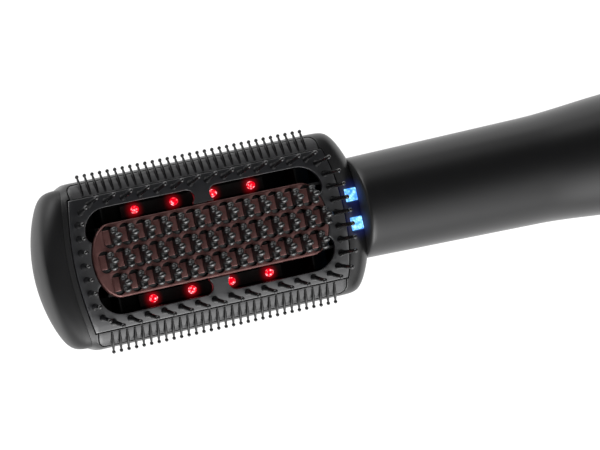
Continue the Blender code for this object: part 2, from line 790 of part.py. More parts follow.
# Centre bristles: a slab under the plate with a two-humped nub in each opening
SLAB_TOP = PLATE_TOP - PLATE_THICKNESS - GAP
slab_low = SLAB_TOP - SLAB_THICKNESS
nub_half = NUB_WIDTH / 2
nub_base = SLAB_TOP - SLAB_THICKNESS / 2
nub_top = PLATE_TOP + NUB_HEIGHT
low_hump = nub_top - LOW_HUMP_DROP
nub_profile = [(-nub_half, nub_base), (nub_half, nub_base), (nub_half, low_hump - NUB_EDGE),
               (nub_half * 0.62, low_hump), (nub_half * 0.24, low_hump - NUB_DIP),
               (-nub_half * 0.10, nub_top), (-nub_half * 0.78, nub_top - NUB_EDGE)]
SIDEWAYS = Matrix(((0, 0, 1, 0), (1, 0, 0, 0), (0, 1, 0, 0), (0, 0, 0, 1)))
nub = flat_mesh([nub_profile], NUB_THICKNESS)
nub.transform(SIDEWAYS)
nubs = place("nubs", joined_mesh(nub, [Matrix.Translation((x + NUB_OFFSET, y, 0))
                                       for x, y in opening_places()]), guide=True)
slab_mesh = flat_mesh([plate_outline(-SLAB_MARGIN)], SLAB_THICKNESS)
centre_bristles = place("centre_bristles", slab_mesh, gloss_black, at=(0, 0, SLAB_TOP - SLAB_THICKNESS / 2))
combine(centre_bristles, nubs, 'UNION')

# Air guide: an open-topped duct with side flanges, on four posts from the shell's back
guide_top = slab_low - GAP
board_low = LAMP_BOARD_TOP - LAMP_BOARD_THICKNESS
tray_floor = board_low - GAP
flange_top = tray_floor - TRAY_WALL - GAP
tray_inner = GUIDE_HALF_WIDTH + GAP
tray_outer = 2 * LAMP_Y - tray_inner
half = [(GUIDE_HALF_WIDTH, GUIDE_FLOOR), (GUIDE_HALF_WIDTH, flange_top - GUIDE_WALL),
        (tray_outer, flange_top - GUIDE_WALL), (tray_outer, flange_top),
        (GUIDE_HALF_WIDTH, flange_top), (GUIDE_HALF_WIDTH, guide_top),
        (GUIDE_HALF_WIDTH - GUIDE_WALL, guide_top),
        (GUIDE_HALF_WIDTH - GUIDE_WALL, GUIDE_FLOOR + GUIDE_WALL)]
guide_section = half + [(-y, z) for y, z in reversed(half)]
guide_mesh = flat_mesh([guide_section], GUIDE_END - GUIDE_START)
guide_mesh.transform(SIDEWAYS)
air_guide = place("air_guide", guide_mesh, moulded_black, at=((GUIDE_START + GUIDE_END) / 2, 0, 0))
stop_height = guide_top - GUIDE_FLOOR - 2 * GAP
stop_width = 2 * GUIDE_HALF_WIDTH - GUIDE_WALL
guide_stop = place("guide_stop", box_mesh((GUIDE_WALL, stop_width, stop_height)),
                   at=(GUIDE_START + 2 * GUIDE_WALL, 0, GUIDE_FLOOR + GAP + stop_height / 2), guide=True)
combine(air_guide, guide_stop, 'UNION')

post_top = GUIDE_FLOOR - GAP
post_low = -BACK_DEPTH + HEAD_WALL / 2
for sx in (1, -1):
    for sy in (1, -1):
        post = place("guide_post", post_mesh(POST_RADIUS, post_top - post_low, 12),
                     at=(sx * POST_X, sy * POST_Y, (post_top + post_low) / 2), guide=True)
        combine(head_shell, post, 'UNION')

# Lamp trays, boards and lamps
board_length = (LAMP_COUNT - 1) * LAMP_PITCH + 2 * LAMP_END_MARGIN
for side, label in ((1, "left"), (-1, "right")):
    tray_height = TRAY_TOP - tray_floor + TRAY_WALL
    tray_width = tray_outer - tray_inner
    tray = place("lamp_tray_" + label, box_mesh((2 * TRAY_HALF_LENGTH, tray_width, tray_height)),
                 moulded_black, at=(0, side * LAMP_Y, TRAY_TOP - tray_height / 2))
    hollow = place("tray_hollow_" + label,
                   box_mesh((2 * (TRAY_HALF_LENGTH - TRAY_WALL), tray_width - 2 * TRAY_WALL, tray_height)),
                   at=(0, side * LAMP_Y, tray_floor + tray_height / 2), guide=True)
    combine(tray, hollow, 'DIFFERENCE')
    place("lamp_board_" + label, box_mesh((board_length, LAMP_BOARD_WIDTH, LAMP_BOARD_THICKNESS)),
          board_green, at=(0, side * LAMP_Y, LAMP_BOARD_TOP - LAMP_BOARD_THICKNESS / 2))
    for i in range(LAMP_COUNT):
        dome = [(0, LAMP_HEIGHT), (LAMP_RADIUS * 0.6, LAMP_HEIGHT * 0.93),
                (LAMP_RADIUS, LAMP_HEIGHT * 0.6),
                (LAMP_RADIUS, 0), (0, 0)]
        lamp_x = (i - (LAMP_COUNT - 1) / 2) * LAMP_PITCH
        lamp = place("infrared_lamp_%s_%d" % (label, i + 1), turned_mesh(dome, 8, closed=False), lamp_red,
                     at=(lamp_x, side * LAMP_Y, LAMP_BOARD_TOP + GAP))
        round_shading(lamp)

# Ion windows in square ports, and the generator on the shell's back
port_side = ION_WINDOW + 2 * GAP
ports = joined_mesh(box_mesh((port_side, port_side, 2 * (ION_DEPTH + GAP))),
                    [Matrix.Translation((0, side * ION_Y, 0)) for side in (1, -1)])
ion_ports = place("ion_ports", ports, at=(ION_X, 0, FRONT_HEIGHT), guide=True)
combine(head_shell, ion_ports, 'DIFFERENCE')
window_top = surface_height(ION_X, ION_Y) - GAP
ion_board_top = window_top - ION_DEPTH - GAP
ion_board_end = HEAD_END - ION_BOARD_SETBACK
place("ion_board", box_mesh((ION_BOARD_LENGTH, ION_BOARD_WIDTH, ION_BOARD_THICKNESS)), board_green,
      at=(ion_board_end - ION_BOARD_LENGTH / 2, 0, ion_board_top - ION_BOARD_THICKNESS / 2))
needle = rod_mesh(NEEDLE_RADIUS, NEEDLE_LENGTH, 8, end_radius=NEEDLE_RADIUS * 0.2)
for side, label in ((1, "left"), (-1, "right")):
    window = place("ion_window_" + label, box_mesh((ION_WINDOW, ION_WINDOW, ION_DEPTH)), ion_blue,
                   at=(ION_X, side * ION_Y, window_top - ION_DEPTH / 2))
    bore_length = 2 * (NEEDLE_LENGTH + 2 * GAP)
    bore_guide = place("needle_bore", post_mesh(NEEDLE_BORE, bore_length, 8),
                       at=(ION_X, side * ION_Y, window_top - ION_DEPTH), guide=True)
    combine(window, bore_guide, 'DIFFERENCE')
    place("ion_needle_" + label, needle, brass_part, turn=(0, -pi / 2, 0),
          at=(ION_X, side * ION_Y, ion_board_top + GAP + NEEDLE_LENGTH / 2))
ion_floor = -BACK_DEPTH + HEAD_WALL + GAP
place("ion_generator", box_mesh(ION_BOX), moulded_black, at=(ION_BOX_X, 0, ion_floor + ION_BOX[2] / 2))


# Handle
NECK_END_RADIUS = NECK_RADIUS + NECK_TAPER * (SWELL_END - HANDLE_START)


def handle_radius(x):
    if x <= SWELL_END:
        neck = NECK_RADIUS + NECK_TAPER * (x - HANDLE_START)
        return neck + (GRIP_RADIUS - NECK_END_RADIUS) * smooth_step(SWELL_START, SWELL_END, x)
    share = (x - SWELL_END) / (HANDLE_END - SWELL_END)
    return GRIP_RADIUS - (GRIP_RADIUS - TAIL_RADIUS) * share * share


handle_stations = [HANDLE_START, SWELL_START]
handle_stations += [SWELL_START + (SWELL_END - SWELL_START) * (i + 1) / 7 for i in range(7)]
handle_stations += [SWELL_END + (HANDLE_END - SWELL_END) * (i + 1) / 5 for i in range(5)]
end_wall = HEAD_END + GAP
foot_end = HANDLE_START + FOOT_EDGE
outer_side = [(HANDLE_START, NECK_RADIUS - FOOT_EDGE), (foot_end, handle_radius(foot_end))]
outer_side += [(x, handle_radius(x)) for x in handle_stations[1:]]
inner_side = [(end_wall, handle_radius(end_wall) - HANDLE_WALL)]
inner_side += [(x, handle_radius(x) - HANDLE_WALL) for x in handle_stations[1::2]]
handle_profile = [(0, end_wall)] + [(radius, x) for x, radius in inner_side]
handle_profile += along_axis(outer_side) + [(0, HANDLE_START)]
handle_skin = turned_mesh(handle_profile, ROUND_STEPS, closed=False)
handle_shell = place("handle_shell", handle_skin.copy(), soft_black, turn=AXIS_TURN)
grown_stations = [HEAD_END - d for d in (0.0825, 0.0225, 0.0105, 0.0065, 0.0035, 0.0017, -GAP)]
head_socket = place("head_socket", head_mesh(-GAP, grown_stations), guide=True)
combine(handle_shell, head_socket, 'DIFFERENCE')
mouth = rounded_box(AIR_MOUTH[0], AIR_MOUTH[1], AIR_MOUTH[1] * 0.7)
mouth_mesh = flat_mesh([mouth], 2 * CUT_REACH)
mouth_mesh.transform(SIDEWAYS)
air_mouth = place("air_mouth", mouth_mesh, at=(HEAD_END, 0, AIR_MOUTH_Z), guide=True)
combine(head_shell, air_mouth, 'DIFFERENCE')
combine(handle_shell, air_mouth, 'DIFFERENCE')


def liner_radius(x):
    """Outside of a sleeve that fits in the handle's bore at x."""
    return handle_radius(x) - HANDLE_WALL - GAP


# Neck coupler
coupler_start = end_wall + GAP
coupler_end = coupler_start + COUPLER_LENGTH
coupler_bore = liner_radius(coupler_start) - COUPLER_WALL
coupler_profile = [(liner_radius(coupler_end), coupler_end), (liner_radius(coupler_start), coupler_start),
                   (AIR_MOUTH[0], coupler_start), (AIR_MOUTH[0], coupler_start + COUPLER_WALL),
                   (coupler_bore, coupler_start + COUPLER_WALL), (coupler_bore, coupler_end)]
place("neck_coupler", turned_mesh(coupler_profile), moulded_black, turn=AXIS_TURN)

# Heater
heater_end = HEATER_START + HEATER_LENGTH
heater_side = [(liner_radius(x), x) for x in (heater_end, HEATER_START)]
heater_bore = [(radius - HEATER_TUBE_WALL, x) for radius, x in reversed(heater_side)]
place("heater_tube", turned_mesh(heater_side + heater_bore, 24), mica_tan, turn=AXIS_TURN)
wide = heater_bore[0][0] - GAP
mica_half = MICA_LENGTH / 2
waist = mica_half - MICA_END_LENGTH
mica_corner = [(mica_half, wide), (waist, wide), (waist, MICA_HALF_WIDTH)]
mica_outline = mica_corner + [(-x, y) for x, y in reversed(mica_corner)]
mica_outline += [(-x, -y) for x, y in mica_corner] + [(x, -y) for x, y in reversed(mica_corner)]
mica_x = HEATER_START + HEATER_LENGTH / 2
heater_frame = place("heater_frame", flat_mesh([mica_outline], MICA_THICKNESS), mica_tan, at=(mica_x, 0, 0))
upright = place("mica_upright", flat_mesh([mica_outline], MICA_THICKNESS), at=(mica_x, 0, 0),
                turn=(pi / 2, 0, 0), guide=True)
combine(heater_frame, upright, 'UNION')


def tube_along(name, points, radius, sides, material):
    """A wire or pipe through points, made a mesh with welded caps."""
    curve = bpy.data.curves.new(name, 'CURVE')
    curve.dimensions = '3D'
    curve.bevel_depth = radius
    curve.bevel_resolution = sides
    curve.use_fill_caps = True
    spline = curve.splines.new('POLY')
    spline.points.add(len(points) - 1)
    for target, point in zip(spline.points, points):
        target.co = (*point, 1)
    holder = bpy.data.objects.new(name, curve)
    cutters.objects.link(holder)
    mesh = evaluated_mesh(holder)
    bpy.data.objects.remove(holder)
    work = bmesh.new()
    work.from_mesh(mesh)
    bmesh.ops.remove_doubles(work, verts=work.verts, dist=MERGE)
    bmesh.ops.recalc_face_normals(work, faces=work.faces)
    work.to_mesh(mesh)
    work.free()
    return place(name, mesh, material)


coil_radius = MICA_HALF_WIDTH + GAP + COIL_WIRE_RADIUS / cos(pi / COIL_SIDES)
coil_steps = COIL_TURNS * COIL_SIDES
coil_points = []
for i in range(coil_steps + 1):
    turn = 2 * pi * i / COIL_SIDES
    x = mica_x - COIL_LENGTH / 2 + COIL_LENGTH * i / coil_steps
    coil_points.append((x, coil_radius * cos(turn), coil_radius * sin(turn)))
tube_along("heating_coil", coil_points, COIL_WIRE_RADIUS, 0, wire_steel)

quadrant = MICA_THICKNESS / 2 + GAP
place("thermostat", box_mesh(THERMOSTAT_SIZE), white_moulding,
      at=(HEATER_START + THERMOSTAT_FORWARD, quadrant + THERMOSTAT_SIZE[1] / 2,
          quadrant + THERMOSTAT_SIZE[2] / 2))
place("thermal_fuse", rod_mesh(FUSE_RADIUS, FUSE_LENGTH, 12), white_moulding,
      at=(HEATER_START + FUSE_FORWARD, -quadrant - FUSE_RADIUS, quadrant + FUSE_RADIUS))

# Motor holder: ring, sleeve and stator vanes
holder_end = HOLDER_START + HOLDER_LENGTH
holder_radius = liner_radius(HOLDER_START)
holder_bore = holder_radius - HOLDER_WALL
sleeve_bore = MOTOR_RADIUS + GAP
sleeve_radius = sleeve_bore + SLEEVE_WALL
motor_end = MOTOR_START + MOTOR_LENGTH
motor_holder = place("motor_holder",
                     turned_mesh([(holder_radius, holder_end), (holder_radius, HOLDER_START),
                                  (holder_bore, HOLDER_START), (holder_bore, holder_end)]),
                     moulded_black, turn=AXIS_TURN)
sleeve_mesh = turned_mesh([(sleeve_radius, motor_end), (sleeve_radius, MOTOR_START),
                           (sleeve_bore, MOTOR_START), (sleeve_bore, motor_end)], SMALL_STEPS)
sleeve = place("motor_sleeve", sleeve_mesh, turn=AXIS_TURN, guide=True)
vane_reach = (holder_bore + holder_radius) / 2
vane_root = (sleeve_bore + sleeve_radius) / 2
vane_mesh = box_mesh((MOTOR_LENGTH * 0.8, VANE_THICKNESS, vane_reach - vane_root))
vane_mesh.transform(Matrix.Translation((MOTOR_START + MOTOR_LENGTH / 2, 0, (vane_reach + vane_root) / 2)))
vanes = place("stator_vanes", joined_mesh(vane_mesh, around_axis(VANE_COUNT)), guide=True)
combine(sleeve, vanes, 'UNION')
combine(motor_holder, sleeve, 'UNION')

shaft_bore = SHAFT_RADIUS + GAP
fan_motor = place("fan_motor",
                  turned_mesh([(MOTOR_RADIUS * 0.6, motor_end), (MOTOR_RADIUS, motor_end - MOTOR_EDGE),
                               (MOTOR_RADIUS, MOTOR_START + MOTOR_EDGE), (MOTOR_RADIUS * 0.6, MOTOR_START),
                               (shaft_bore, MOTOR_START), (shaft_bore, motor_end)], SMALL_STEPS),
                  wire_steel, turn=AXIS_TURN)
hub_end = HUB_START + HUB_LENGTH
shaft_start = MOTOR_START - SHAFT_OVERHANG
shaft_end = hub_end + SHAFT_OVERHANG
motor_shaft = place("motor_shaft", rod_mesh(SHAFT_RADIUS, shaft_end - shaft_start, 10), wire_steel,
                    at=((shaft_start + shaft_end) / 2, 0, 0))
hub_profile = [(HUB_RADIUS * 0.7, hub_end), (HUB_RADIUS, hub_end - HUB_EDGE), (HUB_RADIUS, HUB_START),
               (shaft_bore, HUB_START), (shaft_bore, hub_end)]
impeller = place("impeller", turned_mesh(hub_profile, SMALL_STEPS), moulded_black, turn=AXIS_TURN)
blade_tip = holder_bore - BLADE_TIP_GAP
blade_root = HUB_RADIUS * 0.8
blade_mesh = box_mesh((BLADE_CHORD, BLADE_THICKNESS, blade_tip - blade_root))
blade_mesh.transform(Matrix.Rotation(BLADE_ANGLE, 4, 'Z'))
blade_mesh.transform(Matrix.Translation((HUB_START + HUB_LENGTH * 0.45, 0, (blade_tip + blade_root) / 2)))
blades = place("impeller_blades", joined_mesh(blade_mesh, around_axis(BLADE_COUNT)), guide=True)
combine(impeller, blades, 'UNION')

# Control plate, cut from the handle's skin, with its buttons, slider and board
def control_outline(grow=0.0):
    half_wide = CONTROL_WIDTH / 2 + grow
    points = rounded_box(CONTROL_LENGTH / 2 + grow, half_wide, half_wide * CONTROL_CORNER, 6)
    return [(CONTROL_X + x, y) for x, y in points]


BOARD_TOP = handle_radius(CONTROL_X) - BOARD_DEPTH
control_hole = prism("control_hole", control_outline(GAP), BOARD_TOP, BOARD_TOP + 3 * CUT_REACH)
control_block = prism("control_block", control_outline(), BOARD_TOP, BOARD_TOP + 3 * CUT_REACH)
combine(handle_shell, control_hole, 'DIFFERENCE')
control_plate = place("control_plate", handle_skin.copy(), gloss_black, turn=AXIS_TURN)
combine(control_plate, control_block, 'INTERSECT')
skin_low = handle_radius(CONTROL_X) - HANDLE_WALL
boss_height = skin_low + HANDLE_WALL / 2 - BOARD_TOP - GAP
for side in (1, -1):
    boss = place("board_boss", post_mesh(BOSS_RADIUS, boss_height, 10),
                 at=(CONTROL_X + side * BOSS_OFFSET, 0, BOARD_TOP + GAP + boss_height / 2), guide=True)
    combine(control_plate, boss, 'UNION')

place("control_board", box_mesh(BOARD_SIZE), board_green, at=(CONTROL_X, 0, BOARD_TOP - BOARD_SIZE[2] / 2))
switch_top = BOARD_TOP + GAP + SWITCH_HEIGHT
for offset, name in ((BUTTON_OFFSET, "power"), (-BUTTON_OFFSET, "cool_shot")):
    x = CONTROL_X + offset
    crown = handle_radius(x) + BUTTON_PROUD
    flange_z = handle_radius(x) - HANDLE_WALL - 3 * GAP
    foot = switch_top + GAP + BUTTON_TRAVEL
    hole = place("button_hole", post_mesh(BUTTON_RADIUS + GAP, 2 * CUT_REACH, SMALL_STEPS),
                 at=(x, 0, handle_radius(x)), guide=True)
    combine(control_plate, hole, 'DIFFERENCE')
    flange_low = flange_z - BUTTON_FLANGE
    button_profile = [(0, crown), (BUTTON_RADIUS - BUTTON_EDGE, crown), (BUTTON_RADIUS, crown - BUTTON_EDGE),
                      (BUTTON_RADIUS, flange_z), (BUTTON_RADIUS + BUTTON_FLANGE, flange_z),
                      (BUTTON_RADIUS + BUTTON_FLANGE, flange_low), (BUTTON_STEM, flange_low),
                      (BUTTON_STEM, foot), (0, foot)]
    middle = (crown + foot) / 2
    local = [(radius, height - middle) for radius, height in button_profile]
    button_mesh = turned_mesh(local, SMALL_STEPS, closed=False)
    button = place(name + "_button", button_mesh, soft_black, at=(x, 0, middle))
    round_shading(button)
    place(name + "_switch", box_mesh((SWITCH_SIDE, SWITCH_SIDE, SWITCH_HEIGHT)), moulded_black,
          at=(x, 0, BOARD_TOP + GAP + SWITCH_HEIGHT / 2))

slider_x = CONTROL_X - SLIDER_TRAVEL / 2
slot_length = SLIDER_TRAVEL + SLIDER_STEM[0] + 2 * GAP
slider_slot = place("slider_slot", box_mesh((slot_length, SLIDER_STEM[1] + 2 * GAP, 2 * CUT_REACH)),
                    at=(CONTROL_X, 0, handle_radius(CONTROL_X)), guide=True)
combine(control_plate, slider_slot, 'DIFFERENCE')
knob_low = handle_radius(CONTROL_X - BUTTON_OFFSET) + GAP
base_top = skin_low - 4 * GAP
base_low = base_top - SLIDER_BASE_THICKNESS
mode_slider = place("mode_slider", box_mesh(SLIDER_KNOB), soft_black,
                    at=(slider_x, 0, knob_low + SLIDER_KNOB[2] / 2))
stem_low = base_low + SLIDER_BASE_THICKNESS / 3
stem_high = knob_low + SLIDER_KNOB[2] / 4
stem = place("slider_stem", box_mesh((*SLIDER_STEM, stem_high - stem_low)),
             at=(slider_x, 0, (stem_high + stem_low) / 2), guide=True)
base = place("slider_base", box_mesh((SLIDER_KNOB[0], SLIDER_BASE_WIDTH, SLIDER_BASE_THICKNESS)),
             at=(slider_x, 0, (base_top + base_low) / 2), guide=True)
combine(mode_slider, stem, 'UNION')
combine(mode_slider, base, 'UNION')
slide_height = base_low - GAP - BOARD_TOP - GAP
place("slide_switch", box_mesh((*SLIDE_SWITCH, slide_height)), wire_steel,
      at=(CONTROL_X, 0, BOARD_TOP + GAP + slide_height / 2))

# Rear cap with its intake slots, filter screen, cord gland and clamp
cap_start = HANDLE_END + GAP
cap_depth = CAP_END - cap_start
bore = GLAND_RADIUS + GAP
cap_outer = []
cap_inner = []
for i in range(5):
    angle = pi / 2 * i / 4
    cap_outer.append((CAP_FACE_RADIUS + (TAIL_RADIUS - CAP_FACE_RADIUS) * cos(angle),
                      cap_start + cap_depth * sin(angle)))
    cap_inner.append((CAP_FACE_RADIUS + (TAIL_RADIUS - CAP_WALL - CAP_FACE_RADIUS) * cos(angle),
                      cap_start + (cap_depth - CAP_WALL) * sin(angle)))
cap_profile = [(bore, CAP_END)] + list(reversed(cap_outer)) + cap_inner + [(bore, CAP_END - CAP_WALL)]
rear_cap = place("rear_cap", turned_mesh(cap_profile), soft_black, turn=AXIS_TURN)
slot_mesh = box_mesh((CAP_SLOT_LENGTH, CAP_SLOT_WIDTH, CAP_SLOT_DEPTH))
slot_mesh.transform(Matrix.Translation((CAP_END - CAP_WALL - CAP_SLOT_LENGTH / 2, 0, TAIL_RADIUS)))
cap_slots = place("cap_slots", joined_mesh(slot_mesh, around_axis(CAP_SLOTS, 0.5)), guide=True)
combine(rear_cap, cap_slots, 'DIFFERENCE')

screen_radius = handle_radius(SCREEN_START + SCREEN_THICKNESS) - HANDLE_WALL - GAP
screen_end = SCREEN_START + SCREEN_THICKNESS
screen_profile = [(screen_radius, screen_end), (screen_radius, SCREEN_START),
                  (GLAND_RADIUS, SCREEN_START), (GLAND_RADIUS, screen_end)]
filter_screen = place("filter_screen", turned_mesh(screen_profile, SMALL_STEPS), wire_steel, turn=AXIS_TURN)
window_mesh = box_mesh((CUT_REACH, SCREEN_WINDOW, screen_radius - GLAND_RADIUS - 2 * SCREEN_RIM))
window_mesh.transform(Matrix.Translation((SCREEN_START, 0, (screen_radius + GLAND_RADIUS) / 2)))
windows = place("screen_windows", joined_mesh(window_mesh, around_axis(CAP_SLOTS)), guide=True)
combine(filter_screen, windows, 'DIFFERENCE')

gland_inner = CAP_END - CAP_WALL - GAP
flange_radius = GLAND_RADIUS + GLAND_FLANGE
nose = CAP_END + GLAND_PROUD
gland_profile = [(GLAND_BORE + GLAND_EDGE, nose), (GLAND_RADIUS - GLAND_EDGE, nose),
                 (GLAND_RADIUS, nose - GLAND_EDGE), (GLAND_RADIUS, gland_inner),
                 (flange_radius, gland_inner), (flange_radius, gland_inner - GLAND_COLLAR),
                 (GLAND_BORE, gland_inner - GLAND_COLLAR), (GLAND_BORE, nose - GLAND_EDGE)]
cord_gland = place("cord_gland", turned_mesh(gland_profile, SMALL_STEPS), comb_black, turn=AXIS_TURN)
clamp_floor = -(handle_radius(CLAMP_X + CLAMP_SIZE[0] / 2) - HANDLE_WALL)
clamp_drop = sqrt(clamp_floor ** 2 - (CLAMP_SIZE[1] / 2) ** 2)
place("cord_clamp", box_mesh(CLAMP_SIZE), moulded_black,
      at=(CLAMP_X, 0, -clamp_drop + GAP + CLAMP_SIZE[2] / 2))

# Faces that the cuts split on one plane are joined again, in every cut piece
for item in parts.objects:
    if item.type == 'MESH' and item.modifiers:
        tidy = item.modifiers.new("tidy", 'DECIMATE')
        tidy.decimate_type = 'DISSOLVE'
        tidy.angle_limit = FLAT_ANGLE

for item in (head_shell, end_cap, front_panel, handle_shell, rear_cap, control_plate, cord_gland):
    round_shading(item)
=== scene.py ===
import json
from math import atan2, ceil, cos, hypot, pi, radians, sin, sqrt
import bpy
import bmesh
import numpy as np
from mathutils import Euler, Matrix, Vector

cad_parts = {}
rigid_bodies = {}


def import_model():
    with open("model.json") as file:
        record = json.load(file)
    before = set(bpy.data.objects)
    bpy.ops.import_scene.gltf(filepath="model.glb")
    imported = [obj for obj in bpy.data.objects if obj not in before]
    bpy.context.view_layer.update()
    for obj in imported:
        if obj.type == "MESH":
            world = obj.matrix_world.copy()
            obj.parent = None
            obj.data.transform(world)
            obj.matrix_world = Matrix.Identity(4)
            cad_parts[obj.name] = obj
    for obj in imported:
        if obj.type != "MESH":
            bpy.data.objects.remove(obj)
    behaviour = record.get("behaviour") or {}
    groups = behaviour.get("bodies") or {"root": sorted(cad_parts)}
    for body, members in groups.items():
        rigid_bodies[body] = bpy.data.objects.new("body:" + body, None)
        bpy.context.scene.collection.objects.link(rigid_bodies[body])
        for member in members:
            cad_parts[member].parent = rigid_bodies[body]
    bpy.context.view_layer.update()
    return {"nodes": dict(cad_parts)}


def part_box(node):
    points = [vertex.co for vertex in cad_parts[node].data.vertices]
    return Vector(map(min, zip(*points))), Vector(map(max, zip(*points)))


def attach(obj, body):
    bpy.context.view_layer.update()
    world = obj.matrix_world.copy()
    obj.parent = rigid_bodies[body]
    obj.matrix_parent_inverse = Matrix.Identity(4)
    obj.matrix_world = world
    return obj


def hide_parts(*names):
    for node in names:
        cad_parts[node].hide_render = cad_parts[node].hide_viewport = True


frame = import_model()
nodes = frame["nodes"]
print("frame loaded:", len(nodes), "nodes")

panelLow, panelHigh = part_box("front_panel")
glandLow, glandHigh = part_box("cord_gland")
headX = (panelLow[0] + panelHigh[0]) / 2       # the head's middle along the brush
axisZ = (glandLow[2] + glandHigh[2]) / 2       # the brush's own axis above the floor
toFrame = Matrix.Translation((headX, 0, axisZ))  # pieces are modelled about the head's middle

workshop = bpy.data.collections.new("workshop")
bpy.context.scene.collection.children.link(workshop)


# Shader sums
class Wire:
    # a socket that takes part in sums; each sum adds a Math node
    def __init__(self, sheet, socket):
        self.sheet = sheet
        self.socket = socket

    def __add__(self, other):
        return self.sheet.sum("ADD", self, other)

    def __sub__(self, other):
        return self.sheet.sum("SUBTRACT", self, other)

    def __rsub__(self, other):
        return self.sheet.sum("SUBTRACT", other, self)

    def __mul__(self, other):
        return self.sheet.sum("MULTIPLY", self, other)

    def __truediv__(self, other):
        return self.sheet.sum("DIVIDE", self, other)

    def __pow__(self, other):
        return self.sheet.sum("POWER", self, other)

    def __abs__(self):
        return self.sheet.sum("ABSOLUTE", self)

    __radd__ = __add__
    __rmul__ = __mul__


class NodeSheet:
    # a node tree that nodes and sums are added to
    def __init__(self, tree):
        self.tree = tree

    def feed(self, target, value):
        if isinstance(value, Wire):
            self.tree.links.new(value.socket, target)
        elif isinstance(value, tuple) and len(value) == 3 and target.type == "RGBA":
            target.default_value = (*value, 1)
        else:
            target.default_value = value

    def node(self, kind, settings=(), sockets=(), out=0):
        made = self.tree.nodes.new("ShaderNode" + kind)
        for key, value in dict(settings).items():
            setattr(made, key, value)
        for key, value in dict(sockets).items():
            self.feed(made.inputs[key], value)
        return Wire(self, made.outputs[out])

    def sum(self, operation, *values):
        return self.node("Math", {"operation": operation}, dict(enumerate(values)))

    def capped(self, value):
        return self.sum("MINIMUM", self.sum("MAXIMUM", value, 0.0), 1.0)

    def mixed(self, share, first, second):
        # the Mix node keeps its share between 0 and 1
        return self.node("Mix", {"data_type": "RGBA"}, {0: share, 6: first, 7: second}, out=2)


socketNames = dict(metallic="Metallic", specular="Specular IOR Level", ior="IOR", coat="Coat Weight",
                   coatRoughness="Coat Roughness")


class Finish(NodeSheet):
    # one material: constants go on the shader's sockets, what varies is wired in
    def __init__(self, name, colour, roughness, **constants):
        self.material = bpy.data.materials.new(name)
        self.material.use_nodes = True
        super().__init__(self.material.node_tree)
        self.shader = self.tree.nodes["Principled BSDF"]
        self.put("Base Color", colour)
        self.put("Roughness", roughness)
        for key, value in constants.items():
            self.put(socketNames[key], value)
        self.place = None

    def put(self, socket, value):
        self.feed(self.shader.inputs[socket], value)

    def lit(self, colour, strength):
        self.put("Emission Color", colour)
        self.put("Emission Strength", strength)
        return self

    def coords(self):
        if not self.place:
            self.place = self.node("TexCoord", out="Object")
        return self.place

    def axes(self):
        split = self.node("SeparateXYZ", {}, {"Vector": self.coords()})
        return [Wire(self, out) for out in split.socket.node.outputs]

    def noise(self, scale, detail=2.0):
        return self.node("TexNoise", {}, {"Vector": self.coords(), "Scale": scale, "Detail": detail})

    def cells(self, scale, feature="F1"):
        return self.node("TexVoronoi", {"feature": feature}, {"Vector": self.coords(), "Scale": scale})

    def bump(self, height, strength, distance):
        self.put("Normal", self.node("Bump", {}, {"Height": height, "Strength": strength,
                                                  "Distance": distance}))
        return self

    def glow(self, centre, reach):
        # 1 at a point of the object, fading to 0 at reach
        x, y, z = self.axes()
        gap = (x - centre[0]) ** 2 + (y - centre[1]) ** 2 + (z - centre[2]) ** 2
        return self.capped(1 - gap ** 0.5 / reach)


ionGlow = dict(x=.0655, y=.0062, z=.0118, reach=.0080, falloff=1.7, colour=(.010, .020, .17))
lampRow = dict(pitch=.01754, y=.0189, count=4, reach=.0050, falloff=2.4, phase=100.5,
               colour=(.55, .0, .008))           # the phase puts a lamp half a pitch from the middle
mould = dict(cloud=140, cloudDetail=3, lighter=1.18, grainShare=.25)


def moulded(name, colour, roughness, grain=5200, depth=.00002, mottle=.04, **constants):
    # satin moulded plastic: fine spark texture, slight change of sheen and tone
    finish = Finish(name, colour, roughness, **constants)
    cloud = finish.noise(mould["cloud"], mould["cloudDetail"])
    lighter = tuple(c * mould["lighter"] for c in colour)
    finish.sheen = roughness - mottle / 2 + mottle * cloud
    finish.put("Roughness", finish.sheen)
    finish.put("Base Color", finish.mixed(cloud, colour, lighter))
    return finish.bump(finish.noise(grain), mould["grainShare"], depth)


def withIonGlow(finish):
    # the blue light that falls round the ion windows
    g = ionGlow
    total = 0.0
    for side in (1, -1):
        near = finish.glow((headX + g["x"], side * g["y"], axisZ + g["z"]), g["reach"])
        total = near ** g["falloff"] + total
    return finish.lit(finish.mixed(total, (0, 0, 0), g["colour"]), 1.0)


def withLampGlow(finish, strength):
    # the red light round each lamp: the row repeats every pitch
    g = lampRow
    x, y, _ = finish.axes()
    along = finish.sum("PINGPONG", (x - headX) / g["pitch"] + g["phase"], .5)
    away = ((along * g["pitch"]) ** 2 + (abs(y) - g["y"]) ** 2) ** .5
    inRow = finish.sum("LESS_THAN", abs(x - headX), g["pitch"] * g["count"] / 2)
    near = finish.capped(1 - away / g["reach"]) ** g["falloff"] * inRow
    return finish.lit(finish.mixed(near, (0, 0, 0), g["colour"]), strength)


